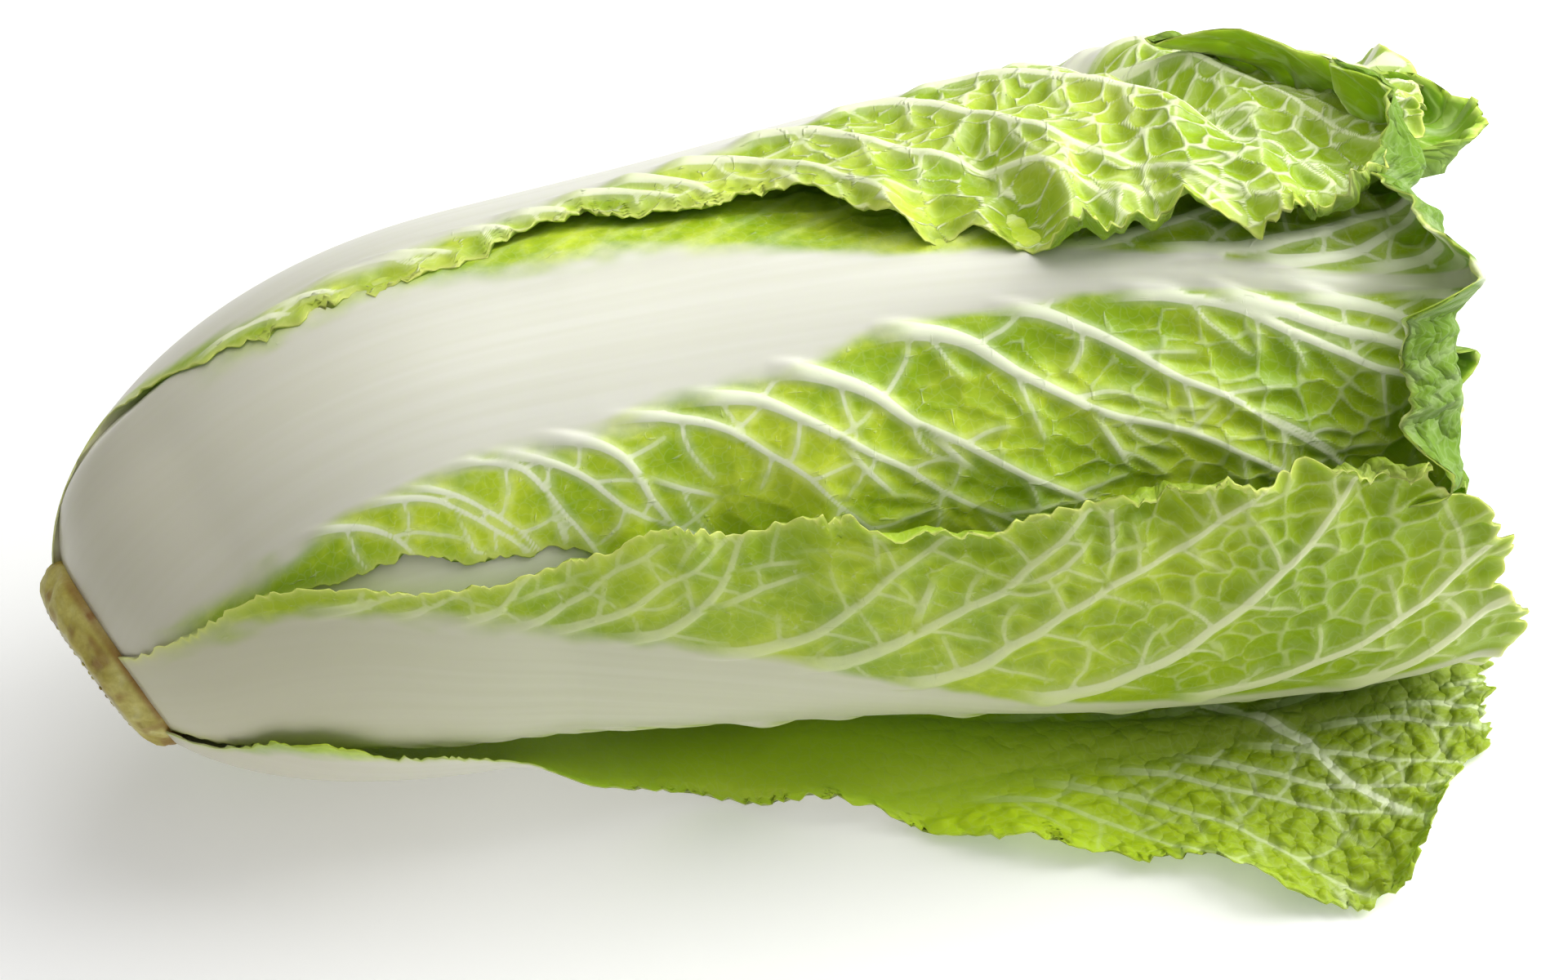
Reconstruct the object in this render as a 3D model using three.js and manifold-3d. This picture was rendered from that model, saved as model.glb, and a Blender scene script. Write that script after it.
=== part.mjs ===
// A head of napa cabbage, as cut: a short stem with its cut end, five large outer leaves, five inner
// leaves and a dense heart of smaller ones. It lies on its side, with the cut end towards -X and the
// leaf tips towards +X. The lowest outer leaf has opened, and its blade lies on the surface at z = 0.
//
// Every leaf is a closed sheet laid round the head in the same coordinates:
//   x      the station along the head's outer envelope, in mm,
//   angle  round the head's axis: 0 faces -Y, 90 faces up, 180 faces +Y and -90 faces down,
//   depth  how far inside the envelope, in mm, measured square to it.
// Leaves keep to different depths where they overlap, so that they nest without touching.
import * as THREE from "three";
import { mergeVertices } from "three/addons/utils/BufferGeometryUtils.js";
import Module from "manifold-3d";

const wasm = await Module();
wasm.setup();

// ---------------------------------------------------------------- driving dimensions, mm and degrees
const LEAF_ROOT = -163.5; // station where the leaves leave the stem
const CUT_END = -169.5; // station of the cut face
const CUT_RADIUS = 22;
const HEAD_RADIUS = 69; // envelope radius at x = 0
const HEAD_TAPER = 0.05; // envelope radius gained for each mm towards the tips
const BOWL_START = -70; // before this station the head rounds in to the stem
const BOWL_LENGTH = 99.3;
const BOWL_POWER = 2.2;
const BOWL_ROUNDNESS = 1 / 2.4;
const CLOSING_START = 90; // past this station the head closes in
const CLOSING_LENGTH = 162;
const AXIS_HEIGHT = 70; // the axis over the surface, at x = 0
const AXIS_PITCH = 1; // the tips are a little higher
const BEND_START = -58; // before this station the axis bends towards BEND_SIDE
const BEND_RADIUS = 262;
const BEND_SIDE = -45; // an angle round the axis
const BLADE = 0.9; // thickness of a leaf blade
const RIB_HEIGHT = 0.8; // how far the side veins stand out of a leaf's outer face
const CHEVRON = 0.85; // how far the side veins sweep forward, as a share of the leaf
const LOBE = 0.045; // how far a leaf's edge goes in and out, as a share of its half width
const WAVE = 46; // from one ruffle of a leaf's edge to the next

// ---------------------------------------------------------------- small helpers
const RAD = Math.PI / 180;
const { clamp, lerp, smoothstep } = THREE.MathUtils; // lerp(from, to, share), smoothstep(x, low, high)

// A smooth value through a list of [station, value] pairs.
function along(stations, x) {
  const last = stations.length - 1;
  if (x <= stations[0][0]) return stations[0][1];
  if (x >= stations[last][0]) return stations[last][1];
  const i = stations.findIndex((pair) => pair[0] >= x);
  const slope = (k) => (stations[k][1] - stations[k - 1][1]) / (stations[k][0] - stations[k - 1][0]);
  const before = i > 1 ? (slope(i - 1) + slope(i)) / 2 : slope(i);
  const after = i < last ? (slope(i) + slope(i + 1)) / 2 : slope(i);
  const span = stations[i][0] - stations[i - 1][0];
  const t = (x - stations[i - 1][0]) / span;
  const straight = lerp(stations[i - 1][1], stations[i][1], t * t * (3 - 2 * t));
  return straight + span * t * (1 - t) * (before * (1 - t) - after * t);
}

// A closed solid from an outer and an inner grid of points, alike in rows and columns.
function closedSheet(outer, inner) {
  const rows = outer.length - 1;
  const columns = outer[0].length - 1;
  const points = [...outer.flat(), ...inner.flat()];
  const at = (i, j, face) => (face * (rows + 1) + i) * (columns + 1) + j;
  const faces = [];
  const quad = (a, b, c, d) => faces.push(a, b, c, a, c, d);
  for (let i = 0; i < rows; i++)
    for (let j = 0; j < columns; j++) {
      quad(at(i, j, 0), at(i + 1, j, 0), at(i + 1, j + 1, 0), at(i, j + 1, 0));
      faces.push(at(i, j, 1), at(i, j + 1, 1), at(i + 1, j + 1, 1));
      faces.push(at(i, j, 1), at(i + 1, j + 1, 1), at(i + 1, j, 1));
    }
  for (let i = 0; i < rows; i++) {
    quad(at(i, 0, 0), at(i, 0, 1), at(i + 1, 0, 1), at(i + 1, 0, 0));
    quad(at(i, columns, 0), at(i + 1, columns, 0), at(i + 1, columns, 1), at(i, columns, 1));
  }
  for (let j = 0; j < columns; j++) {
    quad(at(0, j, 0), at(0, j + 1, 0), at(0, j + 1, 1), at(0, j, 1));
    quad(at(rows, j + 1, 0), at(rows, j, 0), at(rows, j, 1), at(rows, j + 1, 1));
  }
  return new THREE.BufferGeometry().setFromPoints(points).setIndex(faces);
}

// A closed solid through rings of points, from a first point on the axis to a last one.
function closedRings(first, rings, last) {
  const sides = rings[0].length;
  const points = [first, ...rings.flat(), last];
  const at = (ring, k) => 1 + ring * sides + (k % sides);
  const faces = [];
  for (let k = 0; k < sides; k++) {
    faces.push(0, at(0, k), at(0, k + 1));
    for (let ring = 0; ring + 1 < rings.length; ring++) {
      faces.push(at(ring, k), at(ring + 1, k + 1), at(ring, k + 1));
      faces.push(at(ring, k), at(ring + 1, k), at(ring + 1, k + 1));
    }
    faces.push(at(rings.length - 1, k + 1), at(rings.length - 1, k), points.length - 1);
  }
  return new THREE.BufferGeometry().setFromPoints(points).setIndex(faces);
}

// ---------------------------------------------------------------- the head's frame
// The envelope's radius: a rounded bowl at the stem, a slow taper, and a closing end.
function envelope(x) {
  const bowl = clamp((BOWL_START - x) / BOWL_LENGTH, 0, 0.999);
  const closing = Math.max(x - CLOSING_START, 0) / CLOSING_LENGTH;
  const rounding = (1 - bowl ** BOWL_POWER) ** BOWL_ROUNDNESS;
  return (HEAD_RADIUS + HEAD_TAPER * x) * rounding * (1 - closing * closing);
}

// The point at a distance along the axis, which is straight but for its bent base.
function roundAxis(station, angle, radius) {
  const turn = Math.max(BEND_START - station, 0) / BEND_RADIUS;
  const reach = BEND_RADIUS - radius * Math.cos(angle - BEND_SIDE * RAD);
  const forward = Math.max(station, BEND_START) - reach * Math.sin(turn);
  const out = BEND_RADIUS - reach * Math.cos(turn);
  const side = radius * Math.sin(angle - BEND_SIDE * RAD);
  return new THREE.Vector3(forward, out, side)
    .applyMatrix4(new THREE.Matrix4().makeBasis(
      new THREE.Vector3(1, 0, 0),
      new THREE.Vector3(0, -Math.cos(BEND_SIDE * RAD), Math.sin(BEND_SIDE * RAD)),
      new THREE.Vector3(0, Math.sin(BEND_SIDE * RAD), Math.cos(BEND_SIDE * RAD)),
    ))
    .applyAxisAngle(new THREE.Vector3(0, -1, 0), AXIS_PITCH * RAD)
    .add(new THREE.Vector3(0, 0, AXIS_HEIGHT));
}

// The station along the axis and the radius, for a place given by station on the envelope and depth.
function inside(x, depth) {
  const slope = envelope(x + 0.5) - envelope(x - 0.5);
  const tilt = Math.hypot(1, slope);
  return [x + (depth * slope) / tilt, envelope(x) - depth / tilt];
}

function place(x, angle, depth) {
  const [station, radius] = inside(x, depth);
  return roundAxis(station, angle, radius);
}

// The station at which the line square to the envelope at x meets the axis.
function stationOnAxis(x) {
  const slope = envelope(x + 0.5) - envelope(x - 0.5);
  return x + envelope(x) * slope;
}

// Lifts a point that would sink below `floor`, with a soft knee.
function restOn(point, floor) {
  const knee = 3;
  const over = point.z - floor;
  if (over < knee) point.z = floor + (over < -knee ? 0 : (over + knee) ** 2 / (4 * knee));
  return point;
}

// ---------------------------------------------------------------- leaves
// The white stalk of a leaf: half its width and how much thicker than the blade it is.
const STALK_HALF = [[-164, 12], [-150, 22], [-120, 27.5], [-80, 27], [-50, 24.5], [-15, 20],
  [10, 14], [36, 9.5], [60, 6.5], [100, 4], [160, 2]];
const STALK_THICK = [[-164, 4.5], [-145, 6], [-90, 5.5], [-20, 4], [60, 2.2], [160, 0.5]];
const STALK_COLUMNS = [0, 0.55, 1]; // columns of the grid from the midrib to the stalk's edge

// A leaf's outline and lie:
//   midrib      the angle of its midrib, by station
//   left/right  half the blade's width towards smaller and larger angles, by station
//   tip         the station of its tip
//   depths      at the left edge, the midrib and the right edge
//   ruffle      how far the left and right edges swing, outwards if above 0
//   tipIn       how far the tip leans inwards, or outwards if below 0
//   floor       the lowest level it may reach, over leaves that lie below it
//   standOff    how far a loose leaf stands off the head, by station, less towards its right edge
const outerLeaves = [
  { name: "outer_leaf_1", tip: 160, depths: [1, 0, 0], ruffle: [0, 0], tipIn: 0, floor: 0, phase: 0,
    midrib: [[-164, -62], [-60, -62], [166, -60]],
    left: [[-164, 12], [-120, 32], [-60, 50], [0, 68], [80, 82], [140, 80]],
    right: [[-164, 12], [-130, 46], [-100, 42], [-60, 30], [-35, 14], [0, 19], [36, 33], [78, 46],
      [100, 62], [120, 57], [145, 38]],
    opened: { from: -85, to: -15,
      midrib: [[-90, -32], [-40, -37], [0, -44], [50, -53], [110, -60], [160, -55]] } },
  { name: "outer_leaf_2", tip: 169, depths: [3, 1, 3], ruffle: [7, 5], tipIn: 8, floor: 7, phase: 0.4,
    midrib: [[-164, 134], [-60, 134], [166, 138]],
    left: [[-164, 16], [-145, 34], [-125, 41], [-66, 41], [-40, 35], [-3, 42], [25, 60], [60, 81], [95, 95], [145, 82]],
    right: [[-164, 12], [-120, 34], [-60, 51], [0, 70], [70, 87], [110, 90], [145, 78]] },
  { name: "outer_leaf_3", tip: 152, depths: [8.5, 4, 4], ruffle: [-2, 4], tipIn: -4, floor: 7, phase: 1.1,
    standOff: [[-60, 0], [15, 7], [55, 12], [105, 16], [140, 20], [160, 22]],
    midrib: [[-164, 14], [-120, 12], [-88, 2], [-52, -7], [-24, -14], [12, -23], [60, -33], [110, -36], [165, -34]],
    left: [[-164, 12], [-120, 32], [-60, 44], [0, 50], [80, 50], [140, 46]],
    right: [[-164, 12], [-130, 28], [-92, 31], [-50, 41], [-15, 52], [33, 60], [70, 70], [110, 72], [145, 60]] },
  { name: "outer_leaf_4", tip: 158, depths: [10, 7, 10], ruffle: [-2.5, -2.5], tipIn: 2, floor: 9, phase: 2,
    midrib: [[-164, 217], [158, 214]],
    left: [[-164, 12], [-120, 32], [-60, 46], [0, 58], [80, 66], [140, 60]],
    right: [[-164, 12], [-120, 32], [-60, 44], [0, 56], [80, 62], [140, 56]] },
  { name: "outer_leaf_5", tip: 162, depths: [7.2, 7, 10], ruffle: [-2.5, -2.5], tipIn: 3, floor: 9, phase: 3.1,
    midrib: [[-164, 72], [-100, 73], [-15, 71], [36, 67], [88, 59], [123, 51], [162, 46]],
    left: [[-164, 12], [-130, 32], [-97, 42], [-60, 53], [0, 70], [60, 84], [110, 86], [145, 72]],
    right: [[-164, 16], [-145, 32], [-120, 37], [-60, 46], [0, 62], [80, 80], [140, 74]] },
];

// The five inner leaves sit in the gaps between the outer ones, each edge over the next leaf's.
const INNER_ANGLES = [27, 105, 178, 250, 325];
const INNER_TIPS = [171, 188, 162, 164, 171];
const innerLeaves = INNER_ANGLES.map((angle, k) => ({
  name: `inner_leaf_${k + 1}`, tip: INNER_TIPS[k], depths: [18, k === 0 ? 12.5 : 15.5, 15.5],
  ruffle: [-1.6, 0], tipIn: k === 1 ? 0 : 4, floor: 14, phase: 1.3 * k, stalk: 0.85,
  midrib: [[-164, angle], [160, angle]],
  left: [[-164, 7], [-145, 16], [-120, 26], [-60, 36], [0, 44], [80, 46], [140, 38]],
  right: [[-164, 7], [-145, 16], [-120, 26], [-60, 36], [0, 44], [80, 48], [140, 40]],
}));

// The point of a leaf's outer face (extra = 0) or inside it, `side` mm from its midrib.
function onLeaf(leaf, x, side, extra) {
  const half = along(side < 0 ? leaf.left : leaf.right, x);
  const edge = clamp(Math.abs(side) / half, 0, 1);
  const stalk = along(STALK_HALF, x) * (leaf.stalk ?? 1);
  const wing = smoothstep(Math.abs(side), stalk * (leaf.stalk ? 0.3 : 1), stalk + 20);
  const swing = leaf.ruffle[side < 0 ? 0 : 1];
  const wave = 0.5 + 0.5 * Math.sin((2 * Math.PI * x) / WAVE + leaf.phase * (side < 0 ? 1 : 2));
  const depth = lerp(leaf.depths[1], leaf.depths[side < 0 ? 0 : 2], wing)
    - swing * wave * edge * edge * smoothstep(x, -120, 20)
    + leaf.tipIn * smoothstep(x, 95, 170) + extra
    - (leaf.standOff ? along(leaf.standOff, x) * (side > 0 ? 1 - 0.65 * edge : 1) : 0);
  const angle = along(leaf.midrib, x) * RAD + side / envelope(x);
  const point = place(x, angle, depth);
  if (!leaf.opened) return restOn(point, leaf.floor + extra);
  // The opened leaf leaves the head and lies on the surface, its free edge in waves.
  const share = smoothstep(x, leaf.opened.from, leaf.opened.to);
  const curl = side > 0 ? 6 * edge ** 2 * (0.5 + 0.5 * Math.cos((2 * Math.PI * x) / WAVE + 0.6)) : 0;
  const flat = new THREE.Vector3(x, along(leaf.opened.midrib, x) - side, extra + curl);
  const lying = point.lerp(flat, share);
  lying.z = Math.max(lying.z, extra);
  return lying;
}

// A leaf's stalk and blade as one closed sheet. Its rows sweep forward from the midrib, as its side
// veins do, and every second row is raised as a vein.
function leafGeometry(leaf, rows, columnsPerSide) {
  const grids = [[], []];
  for (let i = 0; i <= rows; i++) {
    const row = [[], []];
    for (let j = -columnsPerSide; j <= columnsPerSide; j++) {
      const share = Math.abs(j) / columnsPerSide;
      const run = i / rows;
      const forward = run + CHEVRON * share * run * (1 - run);
      const tip = leaf.tip - 34 * share ** 3;
      const x = lerp(LEAF_ROOT, tip, forward ** 1.15);
      const stalk = along(STALK_HALF, x) * (leaf.stalk ?? 1);
      const half = along(j < 0 ? leaf.left : leaf.right, x) * (1 + LOBE * (i % 2 ? 1 : -1) * share ** 2);
      const inner = Math.min(stalk, half * 0.8);
      const step = Math.abs(j);
      const within = step < STALK_COLUMNS.length;
      const out = (step - STALK_COLUMNS.length + 1) / (columnsPerSide - STALK_COLUMNS.length + 1);
      const side = Math.sign(j) * (within ? inner * STALK_COLUMNS[step] : lerp(inner, half, out));
      const raised = !within && step < columnsPerSide && i % 2 ? RIB_HEIGHT : 0;
      const rib = leaf.opened ? 0 : raised;
      const bulge = 1 - clamp(Math.abs(side) / stalk, 0, 1) ** 2;
      const thick = BLADE + along(STALK_THICK, x) * (leaf.stalk ?? 1) * bulge;
      row[0].push(onLeaf(leaf, x, side, -rib));
      row[1].push(onLeaf(leaf, x, side, raised - 2 * rib + thick));
    }
    grids[0].push(row[0]);
    grids[1].push(row[1]);
  }
  return closedSheet(grids[0], grids[1]);
}

// ---------------------------------------------------------------- stem
// The stem's flank lies just behind the leaf roots: a short stub with leaf scars, then a cone.
const SIDES = 28; // of the stem and of the heart's middle
const ROOT_GAP = 0.6;
const ROOT_DEPTHS = [1.5, 12, 24, 34, 40];
function stemGeometry() {
  const ring = (station, radius, scar) =>
    Array.from({ length: SIDES }, (_, k) => {
      const angle = (k / SIDES) * 2 * Math.PI;
      return roundAxis(station, angle, radius * (1 + scar * Math.sin(5 * angle + 0.8)));
    });
  const root = (depth) => {
    const [station, radius] = inside(LEAF_ROOT, depth);
    return [station - ROOT_GAP, radius];
  };
  const rings = [
    ring(CUT_END, CUT_RADIUS * 0.55, 0),
    ring(CUT_END - 0.4, CUT_RADIUS * 0.93, 0.02),
    ring(CUT_END + 1, CUT_RADIUS, 0.03),
    ring(CUT_END + 3.4, CUT_RADIUS + 0.8, 0.03),
  ];
  for (const depth of ROOT_DEPTHS) rings.push(ring(...root(depth), 0));
  const apex = roundAxis(stationOnAxis(LEAF_ROOT) - ROOT_GAP, 0, 0);
  return closedRings(roundAxis(CUT_END + 0.8, 0, 0), rings, apex);
}

// ---------------------------------------------------------------- heart
// Small leaves, tight round each other, standing out of the dense middle of the head.
const HEART_DEPTH = 24;
const HEART_STATIONS = [LEAF_ROOT, -150, -120, -80, -30, 30, 80, 100];
const HEART_LEAVES = 8;
const HEART_TURN = 137.5; // degrees from one leaf to the next
function solidOf(geometry) {
  const merged = mergeVertices(new THREE.BufferGeometry()
    .setAttribute("position", geometry.getAttribute("position")).setIndex(geometry.index), 1e-4);
  return new wasm.Manifold(new wasm.Mesh({ numProp: 3,
    vertProperties: merged.attributes.position.array, triVerts: new Uint32Array(merged.index.array) }));
}

function heartGeometry() {
  const ring = (x, depth, fold) => Array.from({ length: SIDES }, (_, k) => {
    const angle = (k / SIDES) * 2 * Math.PI;
    return restOn(place(x, angle, depth + fold * Math.sin(5 * angle + x / 60)), HEART_DEPTH - 3);
  });
  const rings = ROOT_DEPTHS.filter((depth) => depth > HEART_DEPTH).reverse()
    .map((depth) => ring(LEAF_ROOT, depth, 0));
  for (const x of HEART_STATIONS)
    rings.push(ring(x, HEART_DEPTH + 1, 0.8 * smoothstep(x, -150, -60)));
  const bottom = roundAxis(stationOnAxis(LEAF_ROOT), 0, 0);
  let heart = solidOf(closedRings(bottom, rings, roundAxis(118, 0, 0)));
  for (let k = 0; k < HEART_LEAVES; k++) {
    const depth = HEART_DEPTH + 2.4 + 3.4 * k;
    const turn = k * HEART_TURN;
    const tip = 157 - 2 * (k % 3);
    const outer = [];
    const inner = [];
    for (let i = 0; i <= 5; i++) {
      const rowOuter = [];
      const rowInner = [];
      for (let j = 0; j <= 10; j++) {
        const across = j / 5 - 1;
        const x = lerp(76, tip - 16 * across ** 4, i / 5);
        const angle = (turn + across * (62 + 5 * k)) * RAD;
        const ruffle = 1.4 * Math.sin(j * 1.9 + k) * (i / 5) ** 2 + 5 * (i / 5) ** 3;
        rowOuter.push(place(x, angle, depth + ruffle));
        rowInner.push(place(x, angle, depth + ruffle + 1.1));
      }
      outer.push(rowOuter);
      inner.push(rowInner);
    }
    heart = heart.add(solidOf(closedSheet(outer, inner)));
  }
  const mesh = heart.getMesh();
  return new THREE.BufferGeometry()
    .setAttribute("position", new THREE.BufferAttribute(mesh.vertProperties, 3))
    .setIndex(new THREE.BufferAttribute(mesh.triVerts, 1));
}

// ---------------------------------------------------------------- the head
const leafGreen = new THREE.MeshStandardMaterial({ color: 0xb5d35c, roughness: 0.5, metalness: 0 });
const innerGreen = new THREE.MeshStandardMaterial({ color: 0xc9dd7d, roughness: 0.5, metalness: 0 });
const heartYellow = new THREE.MeshStandardMaterial({ color: 0xe2e6a0, roughness: 0.5, metalness: 0 });
const stemCream = new THREE.MeshStandardMaterial({ color: 0xc6bd7a, roughness: 0.7, metalness: 0 });

const head = new THREE.Group();
function add(name, geometry, material) {
  const mesh = new THREE.Mesh(geometry, material);
  mesh.name = name;
  head.add(mesh);
}

add("stem", stemGeometry(), stemCream);
for (const leaf of outerLeaves) add(leaf.name, leafGeometry(leaf, 26, 6), leafGreen);
for (const leaf of innerLeaves) add(leaf.name, leafGeometry(leaf, 18, 5), innerGreen);
add("heart", heartGeometry(), heartYellow);

export default head;
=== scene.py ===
# A head of napa cabbage lying on its side: a short cut stem, five large outer leaves, five inner
# leaves and a dense heart. Sizes in this script are in millimetres and angles in degrees until a
# piece's mesh is made, where they become metres.
import math
import bpy
import numpy as np
from mathutils import Matrix, Vector


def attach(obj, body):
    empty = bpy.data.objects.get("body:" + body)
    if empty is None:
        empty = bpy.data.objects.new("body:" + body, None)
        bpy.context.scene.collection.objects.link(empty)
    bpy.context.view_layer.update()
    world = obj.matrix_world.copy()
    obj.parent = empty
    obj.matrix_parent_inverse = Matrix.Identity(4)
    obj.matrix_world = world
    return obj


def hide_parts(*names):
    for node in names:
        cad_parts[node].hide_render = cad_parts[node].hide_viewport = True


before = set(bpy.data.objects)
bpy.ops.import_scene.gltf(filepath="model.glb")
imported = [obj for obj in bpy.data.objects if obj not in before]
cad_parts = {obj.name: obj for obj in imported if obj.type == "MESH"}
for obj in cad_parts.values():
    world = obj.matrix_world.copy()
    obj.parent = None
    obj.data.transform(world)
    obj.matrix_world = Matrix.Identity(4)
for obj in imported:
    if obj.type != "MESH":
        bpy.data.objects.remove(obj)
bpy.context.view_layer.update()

# ------------------------------------------------------------------------------------------- stem
# The stem is the solid stub that every leaf grows from. It is cut square with a knife, so its end
# shows pale pith inside a ring of fibre bundles, and its skin carries the scars of trimmed leaves.
LEAF_ROOT = -163.5
CUT_END = -169.5
CUT_RADIUS = 22
HEAD_RADIUS = 69
HEAD_TAPER = 0.05
BOWL_START = -70
BOWL_LENGTH = 99.3
BOWL_POWER = 2.2
BOWL_ROUNDNESS = 1 / 2.4
CLOSING_START = 90
CLOSING_LENGTH = 162
AXIS_HEIGHT = 70
AXIS_PITCH = math.radians(1)
BEND_START = -58
BEND_RADIUS = 262
BEND_SIDE = math.radians(-45)
BUNDLE_RING = 0.74
STEM_TOP = -125


def smooth(value, low, high):
    """0 below `low`, 1 above `high`, with an easy curve between."""
    t = np.clip((value - low) / (high - low), 0, 1)
    return t * t * (3 - 2 * t)


def mix(a, b, share):
    return a + (b - a) * share


def grain(u, v, size, seed):
    """Smooth noise from -1 to 1 over a plane, with humps about `size` apart."""
    lattice = np.random.default_rng(seed).uniform(-1, 1, (97, 89))
    a = np.asarray(u, float) / size
    b = np.asarray(v, float) / size
    i = np.floor(a).astype(int)
    j = np.floor(b).astype(int)
    s = smooth(a - i, 0, 1)
    t = smooth(b - j, 0, 1)
    low = mix(lattice[i % 97, j % 89], lattice[(i + 1) % 97, j % 89], s)
    high = mix(lattice[i % 97, (j + 1) % 89], lattice[(i + 1) % 97, (j + 1) % 89], s)
    return mix(low, high, t)


def envelope(x):
    """The head's outer radius at a station: a rounded bowl, a slow taper and a closing end."""
    bowl = np.clip((BOWL_START - x) / BOWL_LENGTH, 0, 0.999)
    closing = np.maximum(x - CLOSING_START, 0) / CLOSING_LENGTH
    rounding = (1 - bowl ** BOWL_POWER) ** BOWL_ROUNDNESS
    return (HEAD_RADIUS + HEAD_TAPER * x) * rounding * (1 - closing ** 2)


def round_axis(station, angle, radius):
    """A point by its distance along the head's bent axis, its angle round it and its radius."""
    station, angle, radius = np.broadcast_arrays(station, angle, radius)
    turn = np.maximum(BEND_START - station, 0) / BEND_RADIUS
    reach = BEND_RADIUS - radius * np.cos(angle - BEND_SIDE)
    forward = np.maximum(station, BEND_START) - reach * np.sin(turn)
    out = BEND_RADIUS - reach * np.cos(turn)
    side = radius * np.sin(angle - BEND_SIDE)
    y = -out * math.cos(BEND_SIDE) + side * math.sin(BEND_SIDE)
    z = out * math.sin(BEND_SIDE) + side * math.cos(BEND_SIDE)
    x = forward * math.cos(AXIS_PITCH) - z * math.sin(AXIS_PITCH)
    z = forward * math.sin(AXIS_PITCH) + z * math.cos(AXIS_PITCH) + AXIS_HEIGHT
    return np.stack([x, y, z], -1)


def inside(x, depth):
    """Station and radius of a place `depth` inside the envelope, square to it at x."""
    slope = envelope(x + 0.5) - envelope(x - 0.5)
    tilt = np.hypot(1, slope)
    return x + depth * slope / tilt, envelope(x) - depth / tilt


def place(x, angle, depth):
    station, radius = inside(x, depth)
    return round_axis(station, angle, radius)


def grid(rows, columns, first=0):
    """Four-sided faces between the points of a grid, row by row, whose numbers start at `first`."""
    i, j = np.meshgrid(np.arange(rows), np.arange(columns), indexing="ij")
    corner = first + i * (columns + 1) + j
    return np.stack([corner, corner + columns + 1, corner + columns + 2, corner + 1], -1).reshape(-1, 4)


def solid(name, points, quads, triangles, material):
    """A closed mesh object from points in mm, with its faces turned outwards."""
    points = np.asarray(points, float).reshape(-1, 3) / 1000
    quads = np.asarray(quads, int).reshape(-1, 4)
    triangles = np.asarray(triangles, int).reshape(-1, 3)
    corners = points[np.concatenate([quads[:, :3], quads[:, [0, 2, 3]], triangles])]
    if np.einsum("ij,ij->", corners[:, 0], np.cross(corners[:, 1], corners[:, 2])) < 0:
        quads = quads[:, ::-1]
        triangles = triangles[:, ::-1]
    mesh = bpy.data.meshes.new(name)
    mesh.from_pydata(points.tolist(), [], quads.tolist() + triangles.tolist())
    mesh.shade_smooth()
    mesh.materials.append(material)
    piece = bpy.data.objects.new(name, mesh)
    bpy.context.scene.collection.objects.link(piece)
    return piece


def rings_solid(name, first, rings, last, material):
    """A closed mesh through rings of points, from a first point to a last one."""
    around = len(rings[0])
    points = np.concatenate([[first], np.concatenate(rings), [last]])
    k = np.arange(around)
    beside = (k + 1) % around
    start = 1 + np.arange(len(rings) - 1)[:, None] * around
    quads = np.stack([start + k, start + around + k, start + around + beside, start + beside], -1)
    end = 1 + (len(rings) - 1) * around
    caps = np.concatenate([np.stack([0 * k, 1 + k, 1 + beside], -1),
                           np.stack([end + beside, end + k, 0 * k + len(points) - 1], -1)])
    return solid(name, points, quads, caps, material)


def paint(piece, name, kind, values):
    """Stores one value, colour or vector for each of a mesh's points."""
    field = {"FLOAT": "value", "FLOAT_COLOR": "color", "FLOAT_VECTOR": "vector"}[kind]
    layer = piece.data.attributes.new(name, kind, "POINT")
    layer.data.foreach_set(field, np.asarray(values, np.float32).ravel())


def wire(tree, made, sockets):
    """Sets a node's inputs to plain values, or links them to the outputs of other nodes."""
    for key, value in sockets.items():
        if isinstance(value, bpy.types.NodeSocket):
            tree.links.new(value, made.inputs[key])
        else:
            made.inputs[key].default_value = value
    return made


def node(tree, kind, sockets=None, **settings):
    """Adds a node, gives it its settings, and sets or links its inputs."""
    made = tree.nodes.new(kind)
    for key, value in settings.items():
        setattr(made, key, value)
    return wire(tree, made, sockets or {})


def result(tree, kind, sockets=None, **settings):
    """Adds a node and gives its first output."""
    return node(tree, kind, sockets, **settings).outputs[0]


def ramp(tree, factor, *stops):
    """A colour ramp over a factor, from (position, colour) stops."""
    made = node(tree, "ShaderNodeValToRGB", {"Fac": factor})
    elements = made.color_ramp.elements
    while len(elements) < len(stops):
        elements.new(0.5)
    for element, (position, colour) in zip(elements, stops):
        element.position = position
        element.color = (*colour, 1)
    return made.outputs["Color"]


def blend(tree, factor, a, b, way="MIX"):
    """Mixes two colours, given as sockets or as RGB values."""
    a, b = ((*colour, 1) if isinstance(colour, tuple) else colour for colour in (a, b))
    return node(tree, "ShaderNodeMix", {0: factor, 6: a, 7: b}, data_type="RGBA", blend_type=way).outputs[2]


def math_node(tree, operation, a, b=0.0, clamp=False):
    return result(tree, "ShaderNodeMath", {0: a, 1: b}, operation=operation, use_clamp=clamp)


def noise(tree, spot, scale, detail, rough=0.5, dimensions="3D"):
    """The outputs of a noise: Fac and Color."""
    sockets = {"Vector": spot, "Scale": scale, "Detail": detail, "Roughness": rough}
    return node(tree, "ShaderNodeTexNoise", sockets, noise_dimensions=dimensions).outputs


def attribute(tree, name):
    """The outputs of an attribute of the mesh."""
    return node(tree, "ShaderNodeAttribute", attribute_name=name).outputs


def new_material(name):
    material = bpy.data.materials.new(name)
    material.use_nodes = True
    tree = material.node_tree
    return material, tree, tree.nodes["Principled BSDF"]


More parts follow.
